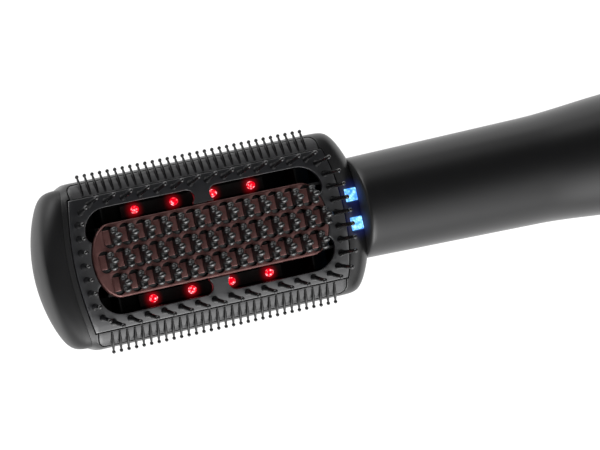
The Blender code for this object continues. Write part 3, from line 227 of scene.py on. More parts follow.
softBlack = moulded("softBlack", (.0105, .0105, .0110), .34)
# the end cap is the head's black plastic made darker and less shiny: painted shade for the dark tip end of
# the head
capPaintedShadeBlack = moulded("capPaintedShadeBlack", (.0065, .0065, .0070), .40, specular=.45)
headBlack = withIonGlow(moulded("headBlack", (.0105, .0105, .0110), .36, specular=.7))
handleBlack = withIonGlow(moulded("handleBlack", (.0095, .0095, .0100), .30))
handleFoot = dict(end=.0692, duller=.5)          # the handle's end face round the ion windows
footFace = handleBlack.sum("LESS_THAN", handleBlack.axes()[0], headX + handleFoot["end"])
handleBlack.put("Roughness", handleBlack.sheen + handleFoot["duller"] * footFace)
panelGrey = withLampGlow(moulded("panelGrey", (.0080, .0084, .0112), .33, grain=6500, specular=1.0,
                                 ior=1.62, coat=1.0, coatRoughness=.32), .35)
combBlack = moulded("combBlack", (.050, .050, .052), .38, grain=6500, mottle=.10,
                    specular=.8, coat=.35, coatRoughness=.38)
pinBlack = moulded("pinBlack", (.007, .007, .0075), .16, grain=2600, depth=.00001, coat=.4, coatRoughness=.08)
glossBlack = moulded("glossBlack", (.007, .007, .0075), .30, grain=260, depth=.00003,
                     specular=.9, coat=.8, coatRoughness=.22)
mouldedBlack = moulded("mouldedBlack", (.012, .012, .012), .50)
trayBlack = withLampGlow(moulded("trayBlack", (.0020, .0020, .0020), .60, specular=.15), .8)

rose = dict(worn=(.140, .058, .053), warm=(.220, .102, .095), fleck=(.42, .24, .22), fleckShare=.25)


def roseCoat():
    # ceramic coat on metal: warm brown with fine sparkle and a browner worn tone
    finish = Finish("roseBrown", (.20, .085, .075), .33, metallic=.55, coat=.15, coatRoughness=.25)
    cloud = finish.noise(220, 4)
    fleck = finish.capped(1 - finish.cells(5200) * 2.4) * rose["fleckShare"]
    tone = finish.mixed(cloud * 1.4 - .2, rose["worn"], rose["warm"])
    finish.put("Base Color", finish.mixed(fleck, tone, rose["fleck"]))
    finish.put("Roughness", .27 + .12 * cloud)
    return finish.bump(finish.noise(4200), .2, .00002)


roseBrown = roseCoat()

redLens = dict(deep=(.42, .0, .006), pale=(1, .42, .48), strength=2.4, spots=760)
blueLens = dict(pale=(.42, .90, 1), deep=(.010, .12, .70), edge=(.10, .42, 1), dim=(.02, .16, .80),
                strength=1.8, facets=640)


def lampLens():
    # lit red lens: pale spots of light on deep red with darker gaps
    finish = Finish("lampRed", (.45, .01, .015), .12, coat=.5)
    spots = finish.cells(redLens["spots"])
    core = finish.capped(1.25 - spots * 2.1) ** 2.2
    finish.bump(spots, .6, .0003)
    return finish.lit(finish.mixed(core, redLens["deep"], redLens["pale"]), redLens["strength"])


def ionLens():
    # lit blue lens: pale cyan facets with deep blue between them
    b = blueLens
    finish = Finish("ionBlue", (.03, .12, .6), .06, coat=.6)
    facet = finish.cells(b["facets"])
    tone = finish.mixed(facet * 1.5 - .35, b["pale"], b["deep"])
    tone = finish.mixed(finish.cells(b["facets"], "DISTANCE_TO_EDGE") * 14, b["edge"], tone)
    tone = finish.mixed(finish.noise(420) * 3.2 - .85, b["dim"], tone)
    return finish.bump(facet, .8, .0004).lit(tone, b["strength"])


lampRed = lampLens()
ionBlue = ionLens()


def metal(name, colour, roughness, scratch):
    # drawn metal with streaks along the brush
    finish = Finish(name, colour, roughness, metallic=1.0)
    streak = finish.node("TexNoise", {}, {"Vector": finish.node("Mapping", {}, {
        "Vector": finish.coords(), "Scale": (1, scratch, scratch)}), "Scale": 90.0, "Detail": 4.0})
    finish.put("Roughness", roughness - .08 + .16 * streak)
    finish.put("Base Color", finish.mixed(streak, tuple(c * .86 for c in colour), colour))
    return finish.bump(streak, .15, .00003)


wireSteel = metal("wireSteel", (.56, .57, .58), .30, 22)
brassPart = metal("brassPart", (.75, .58, .28), .28, 14)


def micaSheet():
    finish = Finish("micaTan", (.55, .47, .33), .45)
    cloud = finish.noise(260, 4)
    finish.put("Base Color", finish.mixed(cloud, (.47, .39, .26), (.62, .54, .40)))
    finish.put("Roughness", .30 + .35 * cloud)
    return finish.bump(finish.cells(900), .3, .00005)


board = dict(tracksPerMetre=700, trackFrom=.42, track=(.05, .21, .10))


def circuitBoard():
    # solder-masked board with tinned tracks along it
    finish = Finish("boardGreen", (.02, .12, .05), .4)
    track = finish.sum("PINGPONG", finish.axes()[1] * board["tracksPerMetre"], .5)
    line = finish.sum("GREATER_THAN", track, board["trackFrom"])
    cloud = finish.noise(300)
    mask = finish.mixed(cloud, (.012, .085, .035), (.02, .13, .055))
    finish.put("Base Color", finish.mixed(line * .5, mask, board["track"]))
    finish.put("Roughness", .30 + .2 * cloud)
    return finish.bump(line, .2, .00003)


micaTan = micaSheet()
boardGreen = circuitBoard()
lampBoardBlack = withLampGlow(moulded("lampBoardBlack", (.0025, .0025, .0025), .60), 1.0)
whiteMoulding = moulded("whiteMoulding", (.66, .66, .64), .5, mottle=.1)
print("finishes made")


# Mesh helpers
def asMesh(work, name="work"):
    mesh = bpy.data.meshes.new(name)
    work.to_mesh(mesh)
    work.free()
    return mesh


def placed(name, data, collection=bpy.context.scene.collection):
    item = bpy.data.objects.new(name, data)
    collection.objects.link(item)
    return item


def finished(name, work, finish, angle, replaces=(), body="body"):
    mesh = asMesh(work, name)
    mesh.transform(toFrame)
    mesh.shade_smooth()
    mesh.set_sharp_from_angle(angle=radians(angle))
    mesh.materials.append(finish.material)
    piece = placed(name, mesh)
    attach(piece, body)
    if replaces:
        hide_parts(*replaces)


corners = ((1, 1), (-1, 1), (-1, -1), (1, -1))
sides = ((1, "left"), (-1, "right"))
weld = dict(grid=.0000005, spin=.000001, outline=.000002)    # corners nearer than this are merged
alongX = Matrix.Rotation(pi / 2, 4, "Y")
sideways = Matrix(((0, 0, 1, 0), (1, 0, 0, 0), (0, 1, 0, 0), (0, 0, 0, 1)))  # a flat outline stood up across


def merged(work, reach):
    bmesh.ops.remove_doubles(work, verts=work.verts, dist=reach)
    bmesh.ops.recalc_face_normals(work, faces=work.faces)
    return work


def turned(profile, steps):
    # a solid spun about z from (radius, height) points
    work = bmesh.new()
    verts = [work.verts.new((radius, 0, height)) for radius, height in profile]
    edges = [work.edges.new(pair) for pair in zip(verts, verts[1:])]
    bmesh.ops.spin(work, geom=verts + edges, cent=(0, 0, 0), axis=(0, 0, 1), angle=2 * pi, steps=steps,
                   use_merge=True)
    return merged(work, weld["spin"])


def rod(radius, low, high, steps):
    return turned([(0, low), (radius, low), (radius, high), (0, high)], steps)


def at(x=0, y=0, z=0):
    return Matrix.Translation((x, y, z))


def moved(work, matrix):
    bmesh.ops.transform(work, matrix=matrix, verts=work.verts)
    return work


def copies(work, placements=(Matrix.Identity(4),), onto=None):
    # the shape at each placement, in one bmesh or joined onto another
    mesh = asMesh(work)
    joined = onto or bmesh.new()
    for placement in placements:
        copy = mesh.copy()
        copy.transform(placement)
        joined.from_mesh(copy)
        bpy.data.meshes.remove(copy)
    bpy.data.meshes.remove(mesh)
    return joined


def aroundX(count, first=0.0):
    return [Matrix.Rotation(2 * pi * (i + first) / count, 4, "X") for i in range(count)]


def bevelled(work, edges, width, steps=2):
    bmesh.ops.bevel(work, geom=edges, offset=width, affect="EDGES", segments=steps, profile=.5, material=-1)
    return work


def block(size, centre=(0, 0, 0), edge=0.0, steps=2):
    work = bmesh.new()
    bmesh.ops.create_cube(work, size=1.0, matrix=at(*centre) @ Matrix.Diagonal((*size, 1)))
    return bevelled(work, work.edges[:], edge, steps) if edge else work


def closed(work):
    # fills the open rims and turns the faces outwards
    bmesh.ops.holes_fill(work, edges=[edge for edge in work.edges if edge.is_boundary], sides=0)
    bmesh.ops.recalc_face_normals(work, faces=work.faces)
    return work


def readBack(item):
    mesh = bpy.data.meshes.new_from_object(item.evaluated_get(bpy.context.evaluated_depsgraph_get()))
    work = bmesh.new()
    work.from_mesh(mesh)
    bpy.data.meshes.remove(mesh)
    for used in list(workshop.objects):
        bpy.data.objects.remove(used)
    return work


def carved(work, cutters, operation="DIFFERENCE"):
    item = placed("work", asMesh(work), workshop)
    for cutter in cutters:
        step = item.modifiers.new("cut", "BOOLEAN")
        step.operation = operation
        step.solver = "EXACT"
        step.object = placed("cutter", asMesh(cutter), workshop)
    return readBack(item)


def plate(outlines, thickness, edge=0.0, rounds=2):
    # a flat piece from outlines in the xy plane, its edges rounded inwards; centred on z = 0
    curve = bpy.data.curves.new("outline", "CURVE")
    curve.dimensions = "2D"
    curve.fill_mode = "BOTH"
    curve.extrude = thickness / 2 - edge
    curve.bevel_depth = edge
    curve.bevel_resolution = rounds
    curve.offset = -edge
    for outline in outlines:
        spline = curve.splines.new("POLY")
        spline.points.add(len(outline) - 1)
        for point, (x, y) in zip(spline.points, outline):
            point.co = (x, y, 0, 1)
        spline.use_cyclic_u = True
    return merged(readBack(placed("outline", curve, workshop)), weld["outline"])


def evenly(start, end, count):
    return [start + (end - start) * i / count for i in range(count + 1)]


def spread(count, pitch):
    # places in a row about its middle
    return [(i - (count - 1) / 2) * pitch for i in range(count)]


def arc(centre, radius, start, end, count):
    return [(centre[0] + radius * cos(a), centre[1] + radius * sin(a)) for a in evenly(start, end, count)]


def ballArc(radius, height, start, end, count):
    # a ball's outline, its angles measured from the top
    return [(radius * sin(a), height + radius * cos(a)) for a in evenly(start, end, count)]


def roundedBox(halfLong, halfWide, corner, steps):
    points = []
    for quarter, (sx, sy) in enumerate(corners):
        centre = (sx * (halfLong - corner), sy * (halfWide - corner))
        points += arc(centre, corner, quarter * pi / 2, (quarter + 1) * pi / 2, steps)
    return points


def sliced(work, axis, places, offCorner=.000011):
    # edges across the piece at places along an axis, just off its own corners
    for place in places:
        across, normal = [0, 0, 0], [0, 0, 0]
        across[axis], normal[axis] = place + offCorner, 1
        bmesh.ops.bisect_plane(work, geom=work.verts[:] + work.edges[:] + work.faces[:], dist=weld["grid"],
                               plane_co=across, plane_no=normal)
    return work


# Head form
head = dict(
    halfWidth=.0350, frontHeight=.0134, backDepth=.0270, frontPower=3.5, backPower=2.5, wall=.0022,
    capStep=.0016, stepFront=.4, stepBack=.6, stepReach=.0035, joinOffset=.0027, capDroop=.0030,
    droopReach=.0160, capSoftness=1.5, softReach=.0090, end=.0725, restRise=.0006, frontRoll=.0150,
    backRoll=.0285, rollLimit=.995, sideSharpness=14, endSharpness=50, seam=.00004)
shoulderEnd = dict(centre=.0112, radius=.0633, rollFront=.0170, rollBack=.0220, way=1)
tipEnd = dict(centre=-.0061, radius=.0671, rollFront=.0045, rollBack=.0219, way=-1)
rows = dict(tip=24, tipZone=.0125, body=108, around=144,      # stations along the head, steps round it
            innerTip=8, innerZone=.0110, innerBody=30, innerFirst=.6, innerAround=48)
panel = dict(
    halfLength=.0604, halfWidth=.0278, bow=.0035, bowSteps=24, gap=.00035, thickness=.0020, edge=.00025,
    pitch=.0022, cut=(.0030, .0200))
bowRadius = (panel["halfWidth"] ** 2 + panel["bow"] ** 2) / (2 * panel["bow"])
bowCentre = bowRadius - panel["halfLength"]
joinRadius = bowRadius + head["joinOffset"]
nominalTip = tipEnd["centre"] - tipEnd["radius"]
tipFace = nominalTip + .0001                     # the first ring, just short of the tip


def smoothStep(low, high, value):
    t = np.clip((value - low) / (high - low), 0, 1)
    return t * t * (3 - 2 * t)


def rolledIn(z, inward, height):
    share = np.minimum(np.abs(z) / height, head["rollLimit"])
    return inward * (1 - np.sqrt(1 - share * share))


def headMeasure(x, y, z, inset=0.0, stepped=1.0):
    # below 1 inside the head, above 1 outside it
    h = head
    join = np.hypot(bowCentre - x, y)
    step = stepped * h["capStep"] * smoothStep(joinRadius - h["stepReach"], joinRadius, join)
    fall = h["capDroop"] * smoothStep(joinRadius, joinRadius + h["droopReach"], join)
    front = z >= 0
    width = h["halfWidth"] - inset - step
    height = np.where(front, h["frontHeight"] - inset - h["stepFront"] * step - fall,
                      h["backDepth"] + h["restRise"] - inset - h["stepBack"] * step)
    softness = stepped * h["capSoftness"] * smoothStep(joinRadius, joinRadius + h["softReach"], join)
    power = np.where(front, h["frontPower"] - softness, h["backPower"])
    value = ((np.abs(y) / width) ** power + (np.abs(z) / height) ** power) ** (1 / power)
    value = value ** h["sideSharpness"]
    for bow in (shoulderEnd, tipEnd):
        roll = np.where(front, rolledIn(z, bow["rollFront"], h["frontRoll"]),
                        rolledIn(z, bow["rollBack"], h["backRoll"]))
        past = x - bow["centre"]
        share = np.hypot(past, y) / (bow["radius"] - inset - roll)
        value = value + np.where(past * bow["way"] > 0, share ** h["endSharpness"], 0)
    return value ** (1 / h["sideSharpness"])


def reachOfSkin(measure, high, rounds):
    # how far each point goes before its measure passes 1, found by halving
    low = np.zeros_like(high)
    for _ in range(rounds):
        middle = (low + high) / 2
        inside = measure(middle) < 1
        low = np.where(inside, middle, low)
        high = np.where(inside, high, middle)
    return low


def alongRays(x, angle, inset, stepped):
    # the head's skin at station x, found along rays from the axis
    upper = np.sin(angle) >= 0
    power = np.where(upper, head["frontPower"], head["backPower"])
    tall = np.where(upper, head["frontHeight"], head["backDepth"])
    across = head["halfWidth"] * np.abs(np.cos(angle)) ** (2 / power) * np.sign(np.cos(angle))
    upward = tall * np.abs(np.sin(angle)) ** (2 / power) * np.where(upper, 1, -1)
    reach = reachOfSkin(lambda t: headMeasure(x, t * across, t * upward, inset, stepped),
                        np.full_like(x, 1.3), 36)
    return reach * across, np.maximum(reach * upward, -(head["backDepth"] - inset))


def surfaceHeight(x, y):
    # height of the head's front skin over points in plan
    x, y = np.asarray(x, float), np.asarray(y, float)
    return reachOfSkin(lambda z: headMeasure(x, y, z), np.full_like(x, head["frontHeight"] * 1.5), 32)


def heightAt(x, y):
    return float(surfaceHeight(x, y))


def headForm(stations, around, inset=0.0, stepped=1.0):
    # a grid rolled into a closed skin
    work = bmesh.new()
    bmesh.ops.create_grid(work, x_segments=len(stations) - 1, y_segments=around, size=.5)
    along = np.array([v.co.x + .5 for v in work.verts])
    angle = np.array([v.co.y + .5 for v in work.verts]) * 2 * pi
    x = np.interp(along * (len(stations) - 1), np.arange(len(stations)), stations)
    y, z = alongRays(x, angle, inset, stepped)
    for vert, px, py, pz in zip(work.verts, x, y, z):
        vert.co = (px, py, pz)
    bmesh.ops.remove_doubles(work, verts=work.verts, dist=weld["grid"])
    return closed(work)


def stationRow(start, end, zone, tipRows, bodyRows, first=0.0):
    # stations crowded towards the tip, then even to the end
    edge = start + zone
    tip = [start + zone * (1 - cos(pi / 2 * (i + first) / tipRows)) for i in range(tipRows)]
    return tip + evenly(edge, end, bodyRows)


def outerForm():
    stations = stationRow(tipFace, head["end"], rows["tipZone"], rows["tip"], rows["body"])
    return headForm(stations, rows["around"])


def innerForm():
    inset = head["wall"]
    stations = stationRow(nominalTip + inset, head["end"] - inset, rows["innerZone"], rows["innerTip"],
                          rows["innerBody"], rows["innerFirst"])
    return headForm(stations, rows["innerAround"], inset, 0.0)


def panelOutline(grow=0.0):
    half = panel["halfWidth"] + grow
    radius = bowRadius + grow
    swing = atan2(half, sqrt(radius * radius - half * half))
    right = arc((-bowCentre, 0), radius, -swing, swing, panel["bowSteps"])
    left = arc((bowCentre, 0), radius, pi - swing, pi + swing, panel["bowSteps"])
    return right + left


strip = dict(inner=panel["halfWidth"] + .0003, outer=.0337, halfLength=.0558, corner=.0030, edge=.00025,
             thickness=.0019, pitch=.0016)


def stripOutline(side, grow=0.0):
    inner, outer = strip["inner"] - grow, strip["outer"] + grow
    long, corner = strip["halfLength"] + grow, strip["corner"] + grow
    points = [(-long, inner), (long, inner)]
    points += arc((long - corner, outer - corner), corner, 0, pi / 2, 8)
    points += arc((corner - long, outer - corner), corner, pi / 2, pi, 8)
    points = [(x, side * y) for x, y in points]
    return points if side > 0 else points[::-1]


def prism(outline, low, high):
    return moved(plate([outline], high - low), at(0, 0, (low + high) / 2))


def frontHole():
    # the place of the panel and both strips, cut from under the skin to above it
    low, high = panel["cut"]
    beside = [prism(stripOutline(side, panel["gap"]), low, high) for side in (1, -1)]
    return carved(prism(panelOutline(panel["gap"]), low, high), beside, "UNION")


def joinCylinder(radius):
    work = bmesh.new()
    bmesh.ops.create_cone(work, cap_ends=True, segments=360, radius1=radius, radius2=radius, depth=.09)
    return moved(work, at(bowCentre))


cutRim = dict(width=.00016, lowest=.004, uprightBelow=.02, skinAbove=.25, sliver=.00002)


def softRim(work):
    # rounds the edges where upright cut walls meet the skin
    bmesh.ops.dissolve_degenerate(work, edges=work.edges[:], dist=cutRim["sliver"])
    rims = []
    for edge in work.edges:
        if len(edge.link_faces) != 2 or min(v.co.z for v in edge.verts) < cutRim["lowest"]:
            continue
        wall, skin = sorted(abs(face.normal.z) for face in edge.link_faces)
        if wall < cutRim["uprightBelow"] and skin > cutRim["skinAbove"]:
            rims.append(edge)
    return bevelled(work, rims, cutRim["width"])


ion = dict(x=.0655, y=.0062, side=.0055, depth=.0060, gap=.0003, edge=.0004, sunk=.0003, bore=.0013,
           boreReach=.0040, cut=.0200)


def ionPorts():
    side = ion["side"] + 2 * ion["gap"]
    return copies(block((side, side, ion["cut"])),
                  [at(ion["x"], s * ion["y"], head["frontHeight"]) for s in (1, -1)])


mouth = dict(halfWidth=.0135, halfHeight=.0090, z=-.0030, corner=.7, depth=.02)


def airMouth():
    outline = roundedBox(mouth["halfWidth"], mouth["halfHeight"], mouth["halfHeight"] * mouth["corner"], 6)
    return moved(plate([outline], mouth["depth"]), at(head["end"], 0, mouth["z"]) @ sideways)


post = dict(x=.0340, y=.0090, radius=.0026, top=-.0068, edge=.0003)


def guidePosts():
    # they stand on the back's wall and carry the air guide
    low, high = -head["backDepth"] + head["wall"] / 2, post["top"]
    radius, edge = post["radius"], post["edge"]
    shape = turned([(0, low), (radius, low), (radius, high - edge), (radius - edge, high), (0, high)], 24)
    return copies(shape, [at(sx * post["x"], sy * post["y"]) for sx, sy in corners])


def headShell():
    work = carved(outerForm(), [joinCylinder(joinRadius - head["seam"])], "INTERSECT")
    work = carved(work, [innerForm(), frontHole(), ionPorts(), airMouth()])
    return copies(guidePosts(), onto=softRim(work))


def endCap():
    return carved(outerForm(), [joinCylinder(joinRadius + head["seam"]), innerForm()])


finished("headShell", headShell(), headBlack, 30, ["head_shell"])
finished("endCap", endCap(), capPaintedShadeBlack, 30, ["end_cap"])
print("head shell and end cap made")


# Pieces draped on the head's front
drape = dict(halfLength=.062, halfWidth=.036, offCorner=.000013)


def draped(outlines, thickness, edge, pitch):
    # a flat piece with enough rows to follow the head's skin
    work = plate(outlines, thickness, edge)
    for axis, half in ((0, drape["halfLength"]), (1, drape["halfWidth"])):
        count = ceil(2 * half / pitch)
        sliced(work, axis, evenly(-half, half, count)[1:-1], drape["offCorner"])
    skin = surfaceHeight([v.co.x for v in work.verts], [v.co.y for v in work.verts])
    for vert, height in zip(work.verts, skin):
        vert.co.z += height - thickness / 2
    return work


heated = dict(
    halfLength=.0525, halfWidth=.0155, endLength=.0097, top=.0145, rim=.0008, skirt=.0023, wall=.0008,
    underDrop=1.3, rollSteps=(0, .35, .7, 1.05, 1.35, pi / 2), openPitch=.00740, openShift=.0005,
    rowY=.0098, counts=(13, 14, 13), openLength=.0060, openWidth=.0092, openPower=2.2, lip=.00018)
slots = dict(width=.0068, rib=.0070, endAngle=radians(55), squareEnd=.3, clear=2.2)


def plateEdge(angle, offset=0.0):
    # the plate's end is half an oval; the angle starts where its straight side ends
    long, wide = heated["endLength"], heated["halfWidth"]
    normal = Vector((sin(angle) / long, cos(angle) / wide)).normalized()
    start = heated["halfLength"] - long
    return (start + long * sin(angle) + offset * normal.x, wide * cos(angle) + offset * normal.y)


def fourWay(quarter):
    # an outline from its quarter, mirrored both ways
    right = quarter + [(x, -y) for x, y in quarter[:-1][::-1]]
    return right + [(-x, -y) for x, y in right]


def plateOutline(offset=0.0):
    return fourWay([(x, -y) for x, y in (plateEdge(a, offset) for a in evenly(0, pi / 2, 20))])


def openOutline():
    # the panel's opening: the plate's place and the two pairs of slots beside it
    half = slots["width"] / 2
    gap = panel["gap"]
    line = heated["halfWidth"]
    near = arc((slots["rib"] / 2 + half, line + half), half, -pi / 2, -3 * pi / 2, 16)
    near = [p for p in near if p[1] > line + gap * slots["clear"]]
    near.insert(0, (slots["rib"] / 2 + half * slots["squareEnd"], line + gap))
    end = slots["endAngle"]
    outer = [plateEdge(end * sin(a), gap + (slots["width"] - gap) * cos(a)) for a in evenly(0, pi / 2, 20)]
    return fourWay(near + outer + [plateEdge(a, gap) for a in evenly(end, pi / 2, 8)[1:]])


pins = dict(
    length=.0135, foot=.00155, base=.00118, tip=.00078, ball=.00100, rowSplay=.0020, columnSplay=.0017,
    sink=.0010, rowY=.0247, rowPitch=.0075, rowCount=14, columnX=.0568, columnPitch=.0057, columnCount=7,
    corner=(.0530, .0222))


def pinPlaces():
    # foot and lean of each pin: the rows, the bowed columns at both ends, the corners
    p = pins
    places = [(x, side * p["rowY"], 0, side)
              for x in spread(p["rowCount"], p["rowPitch"]) for side in (1, -1)]
    for y in spread(p["columnCount"], p["columnPitch"]):
        bow = bowRadius - sqrt(bowRadius ** 2 - y * y)
        places += [(side * (p["columnX"] - bow), y, side, 0) for side in (1, -1)]
    lean = sqrt(.5)
    x, y = p["corner"]
    return places + [(sx * x, sy * y, sx * lean, sy * lean) for sx, sy in corners]


def leaning(foot, tip):
    turn = (Vector(tip) - Vector(foot)).to_track_quat("Z", "Y").to_matrix().to_4x4()
    return at(*foot) @ turn


def pinShape():
    p = pins
    ballHeight = p["length"] - p["ball"]
    profile = ballArc(p["ball"], ballHeight, 0, radians(140), 6)    # then the shaft down to the flared foot
    profile += [(p["tip"], ballHeight - p["ball"] * 1.15), (p["base"] * .8, p["length"] * .32),
                (p["base"], p["length"] * .15), (p["foot"] * .86, p["length"] * .05), (p["foot"], .0001),
                (p["foot"], -p["sink"])]
    return turned(profile, 14)


def frontPanel():
    return draped([panelOutline(), openOutline()], panel["thickness"], panel["edge"], panel["pitch"])


def ringPins():
    stands = []
    for x, y, leanX, leanY in pinPlaces():
        foot = (x, y, heightAt(x, y))
        tip = (x + leanX * pins["columnSplay"], y + leanY * pins["rowSplay"], foot[2] + pins["length"])
        stands.append(leaning(foot, tip))
    return copies(pinShape(), stands)


teeth = dict(
    count=31, endMargin=.00564, rootY=.0286, tipY=.0368, tipZ=.0080, sunk=.0002, root=.00048, wide=.00074,
    neck=.00044, ball=.00078, flat=1.25)


def toothShape(length):
    t = teeth
    profile = ballArc(t["ball"], length, 0, radians(145), 6)
    profile += [(t["neck"], length - t["ball"] * 1.25), (t["wide"] * .93, length * .62),
                (t["wide"], length * .48), (t["wide"] * .86, length * .26), (t["root"], 0), (0, -t["sunk"])]
    return moved(turned(profile, 12), Matrix.Diagonal((1, t["flat"], 1, 1)))


def combTeeth(side):
    t = teeth
    rise = heightAt(0, t["rootY"]) - t["sunk"]
    pitch = 2 * (strip["halfLength"] - t["endMargin"]) / (t["count"] - 1)
    roots = [leaning((x, side * t["rootY"], rise), (x, side * t["tipY"], t["tipZ"]))
             for x in spread(t["count"], pitch)]
    return copies(toothShape(hypot(t["tipY"] - t["rootY"], rise - t["tipZ"])), roots)


finished("frontPanel", frontPanel(), panelGrey, 40, ["front_panel"])
finished("ringPins", ringPins(), pinBlack, 40)
for side, label in sides:
    bar = draped([stripOutline(side)], strip["thickness"], strip["edge"], strip["pitch"])
    finished("combStrip" + label.capitalize(), bar, combBlack, 40, ["comb_strip_" + label])
    finished("combTeeth" + label.capitalize(), combTeeth(side), pinBlack, 40)
print("front panel and comb strips made")


# Heated plate
def atOpenings(shift=0.0):
    h = heated
    return [at(x + h["openShift"] + shift, (1 - row) * h["rowY"]) for row, count in enumerate(h["counts"])
            for x in spread(count, h["openPitch"])]


def openingOval():
    power = 2 / heated["openPower"]
    points = []
    for i in range(28):
        angle = 2 * pi * i / 28
        x = heated["openLength"] / 2 * abs(cos(angle)) ** power
        y = heated["openWidth"] / 2 * abs(sin(angle)) ** power
        points.append((x if cos(angle) >= 0 else -x, y if sin(angle) >= 0 else -y))
    return points


def plateShell():
    # loops from the middle of the top over the rolled rim, down the skirt and back under
    h = heated
    roll = [(-h["rim"] * (1 - sin(a)), -h["rim"] * (1 - cos(a))) for a in h["rollSteps"]]
    loops = roll + [(0, -h["skirt"]), (-h["wall"], -h["skirt"]), (-h["wall"], -h["wall"] * h["underDrop"])]
    outline = plateOutline(loops[0][0])
    count = len(outline)
    work = bmesh.new()
    bmesh.ops.create_circle(work, cap_ends=True, segments=count, radius=.01)
    near = sorted(work.verts, key=lambda v: atan2(v.co.y, v.co.x) % (2 * pi))
    start = min(range(count), key=lambda i: atan2(outline[i][1], outline[i][0]) % (2 * pi))
    for k, vert in enumerate(near):
        vert.co = (*outline[(start + k) % count], h["top"])
    for offset, drop in loops[1:]:
        outline = plateOutline(offset)
        edges = [edge for edge in work.edges if edge.is_boundary]
        grown = bmesh.ops.extrude_edge_only(work, edges=edges)["geom"]
        made = [item for item in grown if isinstance(item, bmesh.types.BMVert)]
        order = {vert: min(range(count), key=lambda k: (near[k].co - vert.co).length) for vert in made}
        for vert in made:
            vert.co = (*outline[(start + order[vert]) % count], h["top"] + drop)
        near = sorted(made, key=order.get)
    return closed(work)


def pierced(work):
    # edges between the openings keep every cut in a small face
    h = heated
    sliced(work, 1, [side * h["rowY"] / 2 for side in (1, -1)])
    sliced(work, 0, [h["openShift"] + k * h["openPitch"] / 2 for k in range(-14, 15)], drape["offCorner"])
    hole = moved(plate([openingOval()], .006), at(0, 0, h["top"]))
    work = carved(work, [copies(hole, atOpenings())])
    lips = [edge for edge in work.edges if len(edge.link_faces) == 2
            and min(v.co.z for v in edge.verts) > h["top"] - .00001
            and min(abs(face.normal.z) for face in edge.link_faces) < cutRim["uprightBelow"]]
    return bevelled(work, lips, h["lip"])


tongue = dict(length=.0028, width=.0060, thickness=.0009, edge=.00030, rise=.0010, inset=.0006, lift=.00010,
              root=(.0024, .0048, .0006), rootDrop=.00060)


def lancedTongue():
    # its free edge stands up, and it is rooted under the opening's tip side
    t = tongue
    x = t["inset"] - heated["openLength"] / 2
    tilt = Matrix.Rotation(-atan2(t["rise"], t["length"]), 4, "Y")
    blade = block((t["length"], t["width"], t["thickness"]), edge=t["edge"], steps=3)
    moved(blade, at(x + t["length"] / 2, 0, heated["top"] + t["lift"]) @ tilt)
    return copies(block(t["root"], (x, 0, heated["top"] - t["rootDrop"])), onto=blade)


def heatedPlate():
    return copies(lancedTongue(), atOpenings(), pierced(plateShell()))


finished("heatedPlate", heatedPlate(), roseBrown, 35, ["heated_plate"])

# Each nub's outline is in millimetres, across the brush and above the plate
nub = dict(thickness=.0034, edge=.00150, foot=.72, swell=2.5, offset=.0016, lean=.0012, height=.0065,
           slabDrop=.0019, slabInset=.0009, slabThickness=.0020, slabEdge=.0002, outline=(
    (-3.0, -2.9), (-3.3, .5), (-4.0, 2.5), (-4.2, 3.7), (-3.3, 4.7), (-2.1, 4.4), (-1.4, 4.2), (-1.3, 5.5),
    (-.4, 6.5), (.8, 6.2), (1.4, 5.1), (1.5, 3.5), (2.1, 3.2), (3.1, 3.6), (3.9, 2.8), (3.8, 1.6),
    (3.2, .3), (3.0, -2.9)))


def smoothOutline(points, steps):
    # a closed curve through points
    result = []
    for i in range(len(points)):
        before, here, after, beyond = (Vector(points[(i + k) % len(points)]) for k in (-1, 0, 1, 2))
        for step in range(steps):
            t = step / steps
            result.append(tuple(.5 * ((2 * here) + (after - before) * t
                                      + (2 * before - 5 * here + 4 * after - beyond) * t * t
                                      + (3 * here - before - 3 * after + beyond) * t ** 3)))
    return result


def centreBristles():
    top = heated["top"]
    humps = [(y * .001, top + z * .001) for y, z in nub["outline"]]
    shape = moved(plate([smoothOutline(humps, 3)[::-1]], nub["thickness"], nub["edge"], 3), sideways)
    for vert in shape.verts:
        share = min(max((vert.co.z - top) / nub["height"], 0), 1)
        swell = nub["foot"] + (1 - nub["foot"]) * min(share * nub["swell"], 1)
        vert.co.x = vert.co.x * swell + nub["lean"] * share
    slab = plate([plateOutline(-nub["slabInset"])], nub["slabThickness"], nub["slabEdge"])
    moved(slab, at(0, 0, top - nub["slabDrop"] - nub["slabThickness"] / 2))
    return copies(shape, atOpenings(nub["offset"]), slab)


finished("centreBristles", centreBristles(), glossBlack, 50, ["centre_bristles"])
print("heated plate and bristles made")

lamp = dict(radius=.00145, height=.0034, foot=.0003, flange=1.18, flangeHeight=.0005, flangeEdge=.0001)


def lampDome():
    radius, high = lamp["radius"], lamp["flangeHeight"]
    wide = radius * lamp["flange"]
    dome = ballArc(radius, lamp["height"] - radius, 0, pi / 2, 8)
    return turned(dome + [(radius, high + lamp["flangeEdge"]), (wide, high), (wide, 0), (0, 0)], 24)


for side, label in sides:
    for i, x in enumerate(spread(lampRow["count"], lampRow["pitch"])):
        dome = moved(lampDome(), at(x, side * lampRow["y"], lamp["foot"]))
        number = "_%s_%d" % (label, i + 1)
        finished("lamp" + number, dome, lampRed, 40, ["infrared_lamp" + number])

for side, label in sides:
    x, y = ion["x"], side * ion["y"]
    top = heightAt(x, ion["y"]) - ion["sunk"]
    work = block((ion["side"], ion["side"], ion["depth"]), (x, y, top - ion["depth"] / 2), ion["edge"])
    bore = moved(rod(ion["bore"], -ion["boreReach"], ion["boreReach"], 24), at(x, y, top - ion["depth"]))
    finished("ionWindow" + label.capitalize(), carved(work, [bore]), ionBlue, 35,
             ["ion_window_" + label])
print("lamps and ion windows made")


